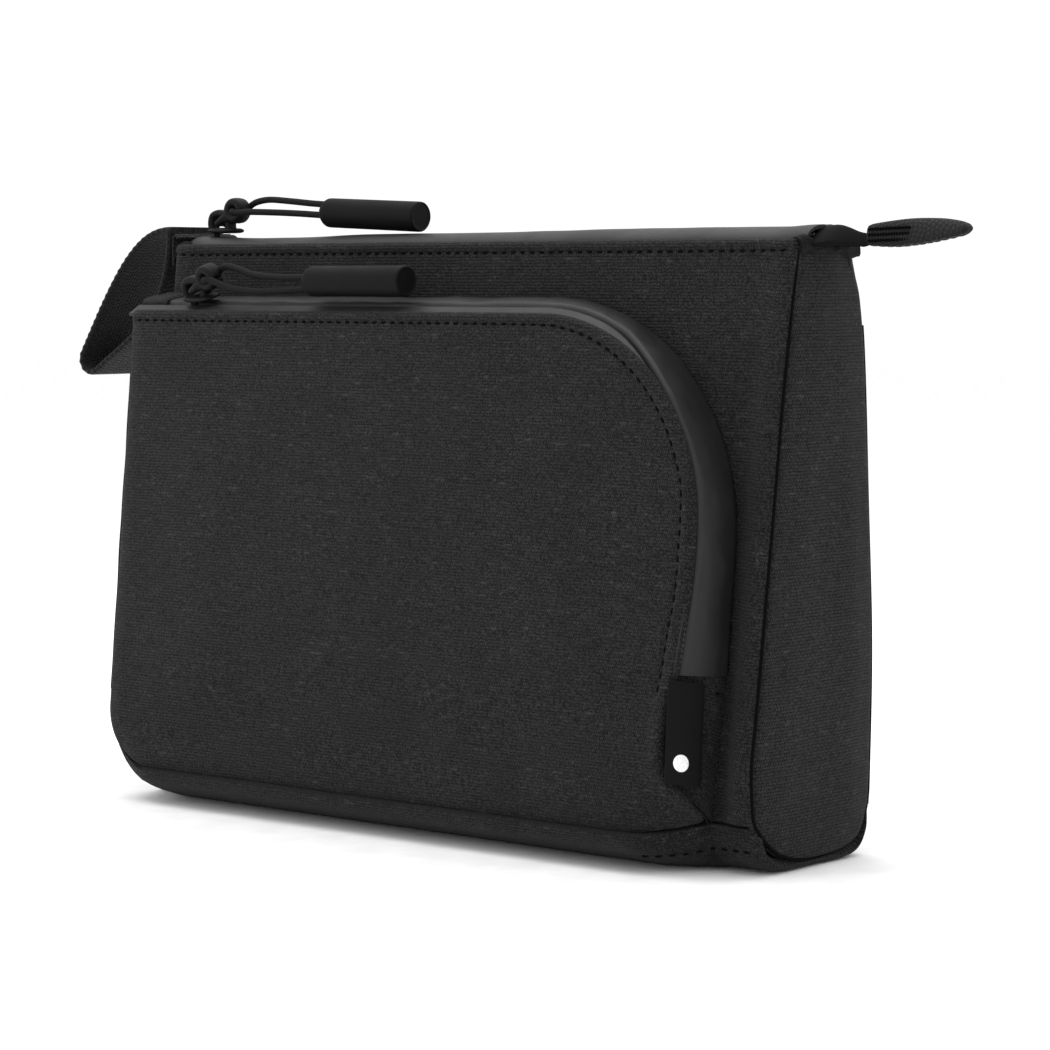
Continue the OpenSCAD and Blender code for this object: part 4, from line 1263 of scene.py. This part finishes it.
def pull_grip(name, drop, slope, reach, place_at):
    """Moulded grip with a bevelled end towards the cord"""
    profile = [(-0.05, 1.6), (0.0, 2.6), (0.2, 2.9), (1.3, 3.75), (1.8, 3.95), (2.6, 4.0), (18, 4.02),
               (34.2, 4.05), (34.7, 4.0), (34.95, 3.8), (35.0, 3.6), (34.85, 3.45), (34.8, 2.9), (34.8, 1.4),
               (34.8, 0.35)]
    phi = np.linspace(0, 2 * np.pi, 56, endpoint=False)
    rings = []
    for x, r in profile:
        rings.append(np.stack([np.full_like(phi, x), r * np.cos(phi), r * np.sin(phi)], -1))
    rings = np.array(rings)
    c, s = math.cos(slope), math.sin(slope)
    x = rings[..., 0] * c + rings[..., 2] * s
    z = -rings[..., 0] * s + rings[..., 2] * c
    local = np.stack([x + reach, rings[..., 1], z - drop], -1) + EYE
    uv = np.stack(np.broadcast_arrays(phi[None, :] * GRIP_R, np.array([p[0] for p in profile])[:, None]), -1)
    return loft(name, turned(local, *place_at), uv, RUBBER, 40)


PULLS = {
    "main": dict(at=MAIN_AT, drop=1.0, slope=math.radians(2.6), reach=34.0,
                 high=[(2.4, 2.3, 1.0), (5.5, 2.2, 2.3), (11, 1.9, 2.9), (20, 1.2, 2.3), (28, 0.8, 1.6),
                       (34, 0.7, 1.2), (38, 0.7, 0.9)],
                 low=[(2.4, -2.4, -0.6), (7.5, -2.2, -0.5), (15, -1.7, -0.7), (24, -1.1, -1.1),
                      (32, -0.7, -1.6), (38, -0.7, -2.0)]),
    "pocket": dict(at=POCKET_AT, drop=1.2, slope=0.0, reach=36.8,
                   high=[(2.4, 2.3, 1.4), (5.5, 2.3, 2.3), (10, 2.0, 1.5), (16, 1.5, 0.1), (25, 1.1, -0.4),
                         (34, 0.9, -0.4), (40, 0.9, -0.4)],
                   low=[(2.3, -2.4, 0.0), (5.5, -2.3, -1.2), (10, -2.0, -2.6), (17, -1.6, -3.5),
                        (26, -1.1, -3.5), (34, -0.9, -3.1), (40, -0.9, -3.0)]),
}


def pull_set(zip_name, at, high, low, drop, slope, reach):
    """One zip's slider, link, cord and grip"""
    for piece, node, body, slot in (
            (place_piece(slider_parts(f"{zip_name}_slider_body"), *at), "slider", "slider", "slider_metal"),
            (place_piece(link_parts(f"{zip_name}_link_cast"), *at), "link", "link", "slider_metal"),
            (pull_cord(f"{zip_name}_pull_cord", high, low, at), "cord", "pull", "cord"),
            (pull_grip(f"{zip_name}_pull_grip", drop, slope, reach, at), "grip", "pull", "grip")):
        put(piece, f"{zip_name}_{body}", (f"{zip_name}_{node}",))


for zip_name, pull in PULLS.items():
    pull_set(zip_name, **pull)

# ---------------------------------------------------------------- wrist loop
WEBBING_W, WEBBING_T = 25.0, 1.6
SCALLOP, SCALLOP_DEPTH = 2.2, 0.35


def bezier(points, n):
    p = np.asarray(points, float)
    t = np.linspace(0, 1, n)[:, None]
    return p[0] * (1 - t) ** 3 + 3 * p[1] * t * (1 - t) ** 2 + 3 * p[2] * t * t * (1 - t) + p[3] * t ** 3


upper_leg = bezier([(-107.7, 156.5), (-122, 157.5), (-131, 144), (-144.9, 121.8)], 40)
fold_back = arc((-141.75, 119.84), 3.7, 152, 301, 14)
lower_leg = bezier([(-139.6, 116.8), (-126.5, 126), (-109.5, 131), (-109.2, 155.6)], 40)
loop_line = np.vstack([upper_leg, fold_back, lower_leg])
loop_line = resample(loop_line, np.linspace(0, 1, int(length_of(loop_line) / 0.45)))
loop_path3 = np.column_stack([loop_line[:, 0], np.zeros(len(loop_line)), loop_line[:, 1]])
wrist_loop = put(ribbon("wrist_loop_webbing", loop_path3, (0, 1, 0), WEBBING_W, WEBBING_T, WEBBING, SCALLOP,
                        SCALLOP_DEPTH), "wrist_loop", ("wrist_loop",))
round(length_of(loop_line) * MM, 3)
anchor = curve([(-107.3, 146.5), (-107.45, 151), (-107.3, 154.0), (-106.5, 154.9), (-105.5, 154.1)], 40)
anchor_path = np.column_stack([anchor[:, 0], np.zeros(40), anchor[:, 1]])
put(ribbon("wrist_loop_anchor", anchor_path, (0, 1, 0), WEBBING_W - 1, 0.9, WEBBING, SCALLOP, 0.2), "pouch",
    ("wrist_anchor",))

# ---------------------------------------------------------------- tape tail and finger tab
def zip_tail():
    """The zip's tape past the side, folded along its middle to enter the tab"""
    xs = np.linspace(105.6, 120.0, 40)
    rings, uv = [], []
    for x in xs:
        t = float(np.clip((x - 105.6) / 12.8, 0, 1))
        w = 8.2 + (0.9 - 8.2) * smooth(t * 0.98 + 0.02)
        drop = 4.5 + 0.6 * math.sin(math.pi * t) - 2.7 * t
        top = 155.4 + 0.3 * math.sin(math.pi * min(t * 1.3, 1)) - 1.9 * smooth((t - 0.25) / 0.75)
        half = [(w * k, -drop * k ** 1.3) for k in (0, 0.15, 0.35, 0.6, 0.75, 0.9, 1.0)]
        upper = [(-y, z) for y, z in half[::-1]] + half[1:]
        lower = [(y * 0.97, z - 0.85) for y, z in upper[::-1]]
        rings.append([(x, y, top + z) for y, z in upper + lower])
        uv.append([(x, y) for y, z in upper + lower])
    return loft("zip_tail_tape", rings, np.array(uv), TAIL_PAINTED_SHADE)


TAB_X0, TAB_X1 = 118.4, 146.5
TAB_NOSE = 2.5


def finger_tab():
    """Webbing folded lengthwise over the tail, its fold on top and its selvedges below"""
    xs = np.concatenate([[TAB_X0], np.linspace(TAB_X0 + 0.25, TAB_X1 - TAB_NOSE, 110),
                         TAB_X1 - TAB_NOSE * (1 - np.sin(np.linspace(0.08, 0.5 * np.pi, 12)))])
    low = curve([(118, 150.4), (126, 150.1), (133, 150.6), (140, 151.6), (146.5, 153.0)], 60)
    high = curve([(118, 155.5), (122, 156.1), (130, 156.9), (137, 156.9), (142, 156.4), (146.5, 155.5)], 60)
    rings, uv = [], []
    for x in xs:
        b, h = np.interp(x, low[:, 0], low[:, 1]), np.interp(x, high[:, 0], high[:, 1])
        end = quarter((TAB_X1 - x) / TAB_NOSE) * 0.94 + 0.06
        start = 0.75 + 0.25 * quarter((x - TAB_X0) / 0.8)
        middle, tall = (b + h) / 2, (h - b) / 2 * end * start
        b, h = middle - tall, middle + tall
        scallop = 0.28 * abs(math.cos(math.pi * x / SCALLOP)) * float(smooth((TAB_X1 - x) / 6))
        wide = (1.9 + 0.9 * float(bell(x, 133, 8))) * float(end) ** 0.5 * float(start)
        twist = 1.6 * float(smooth((x - 124) / 16))
        section = [(0.35, b + scallop), (0.8, b + 0.1 + scallop), (0.98, b + tall * 0.5), (1.0, middle),
                   (0.9, h - tall * 0.45), (0.6, h - tall * 0.12), (0.0, h)]
        ring = [(w * wide, z) for w, z in section] + [(-w * wide, z) for w, z in section[-2::-1]]
        rings.append([(x, y + twist * (z - middle) / 3, z) for y, z in ring])
        uv.append([(q, x) for q in lengths_along(ring)])
    return loft("finger_tab_webbing", rings, np.array(uv), WEBBING)


put(zip_tail(), "zip_tab", ("zip_tail",))
put(finger_tab(), "zip_tab", ("zip_tab",))
for k, z in enumerate((151.6, 153.0, 154.4)):
    xs = np.linspace(TAB_X0 + 0.6, TAB_X0 + 13.0, 60)
    for side in (-1, 1):
        line = np.stack([xs, side * (1.95 + 0.9 * bell(xs, 133, 8)), z + 0.03 * (xs - TAB_X0)], -1)
        tack = f"finger_tab_tack_{k}_{'front' if side < 0 else 'back'}"
        put(stitch_row(tack, line, (0, side, 0), 0.8, 0.95, 0.36), "zip_tab")

# ---------------------------------------------------------------- inside: mesh pocket and cable loops
def mesh_net():
    """A knitted net of diamonds on the back lining"""
    nx, nh, w, h = 70, 32, 176.0, 79.0
    bm = bmesh.new()
    rows = []
    for j in range(nh + 1):
        row = []
        for i in range(nx + 1):
            x = -w / 2 + w * i / nx
            y = 4.5 + h * j / nh
            sag = 1.2 * math.sin(math.pi * i / nx) * math.sin(math.pi * j / nh) ** 0.5
            p = back_frame(x, -WALL - 1.1 - sag * 0.6, y)
            row.append(bm.verts.new(Vector(p * MM)))
        rows.append(row)
    for j in range(nh):
        for i in range(nx):
            bm.faces.new((rows[j][i], rows[j][i + 1], rows[j + 1][i + 1], rows[j + 1][i]))
    bmesh.ops.poke(bm, faces=bm.faces[:])
    straight = [e for e in bm.edges
                if len(e.link_faces) == 2 and min(len(v.link_edges) for v in e.verts) >= 6]
    bmesh.ops.dissolve_edges(bm, edges=straight, use_verts=False)
    obj = add_mesh("mesh_pocket_net", bm)
    obj.data.uv_layers.new(name="cloth")
    wire = obj.modifiers.new("yarn", "WIREFRAME")
    wire.thickness = 0.6 * MM
    wire.use_even_offset = False
    apply_modifiers(obj, MESH)
    return obj


for half in swing_back(mesh_net(), ("mesh_pocket",)):
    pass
xs = np.linspace(-88.5, 88.5, 80)
sag = np.cos(xs / 88.5 * np.pi / 2)
rim_path = back_frame(xs, -WALL - 1.3 - 0.6 * sag, 87.0 - 1.0 * sag)
swing_back(ribbon("mesh_pocket_rim", rim_path, BACK_UP, 8.0, 1.0, ELASTIC),
           ("mesh_pocket_binding",))


def cable_loops():
    """Elastic sewn to the front lining between six loops"""
    loops, pitch, sag = 6, 30.0, 3.2
    xs = np.linspace(-loops * pitch / 2 - 2.6, loops * pitch / 2 + 2.6, 420)
    phase = np.mod(xs + loops * pitch / 2, pitch)
    open_part = np.clip((phase - 2.8) / (pitch - 5.6), 0, 1)
    away = 0.5 + sag * np.sin(np.pi * open_part) ** 0.8
    away = np.where(np.abs(xs) > loops * pitch / 2, 0.5, away)
    return ribbon("cable_loop_elastic", front_frame(xs, -WALL - 0.62 - away, 73.0),
                  FRONT_UP, 22.0, 0.8, ELASTIC)


put(cable_loops(), "pouch", ("cable_loops",))

# ---------------------------------------------------------------- base stitches
columns = [base_column(s) for s in np.linspace(78, SEAM_X + 7.5, 40)]
line = np.array([c[6] for c in columns if c[6][0] < SEAM_X - 1.5])
put(stitch_row("base_seam_stitches", line + [0, -0.1, -0.1], (0.1, -0.9, -0.35)), "pouch")

# ---------------------------------------------------------------- studio
CAMERA_AT = (555.94, -649.16, 141.86)
CAMERA_PITCH, CAMERA_TURN = 4.26, 40.0
LENS = 111.74
camera = add_object("camera", bpy.data.cameras.new("camera"))
camera.location = Vector(CAMERA_AT) * MM
camera.rotation_euler = (math.radians(90 - CAMERA_PITCH), 0, math.radians(CAMERA_TURN))
camera.data.sensor_width = 36
camera.data.lens = LENS
camera.data.clip_start = 0.01
bpy.context.scene.camera = camera


def area_light(name, at, size, power, aim=(0, 0, 0.08)):
    data = bpy.data.lights.new(name, "AREA")
    data.shape = "RECTANGLE"
    data.size, data.size_y = size
    data.energy = power
    lamp = add_object(name, data)
    lamp.location = at
    lamp.rotation_euler = (Vector(aim) - Vector(at)).to_track_quat("-Z", "Y").to_euler()


area_light("top_softbox", (-0.15, 0.05, 0.95), (1.3, 0.9), 7)
area_light("front_softbox", (-0.85, -1.0, 0.5), (1.0, 0.8), 2.6)
area_light("side_softbox", (1.2, -0.05, 0.45), (0.8, 0.8), 0.4)
world = bpy.data.worlds.new("studio")
world.use_nodes = True
world.node_tree.nodes["Background"].inputs[0].default_value = (1, 1, 1, 1)
world.node_tree.nodes["Background"].inputs[1].default_value = 1.04
bpy.context.scene.world = world
bpy.context.scene.view_settings.view_transform = "Standard"

FLOOR_HALF = 4000.0
corners = [(x * FLOOR_HALF, y * FLOOR_HALF, 0) for x, y in ((-1, -1), (1, -1), (1, 1), (-1, 1))]
paper = film("floor_paper", (0.97, 0.97, 0.97), 0.9, 400.0, 0.003, 0.0)
floor = make("floor", corners, [(0, 1, 2, 3)], None, paper)
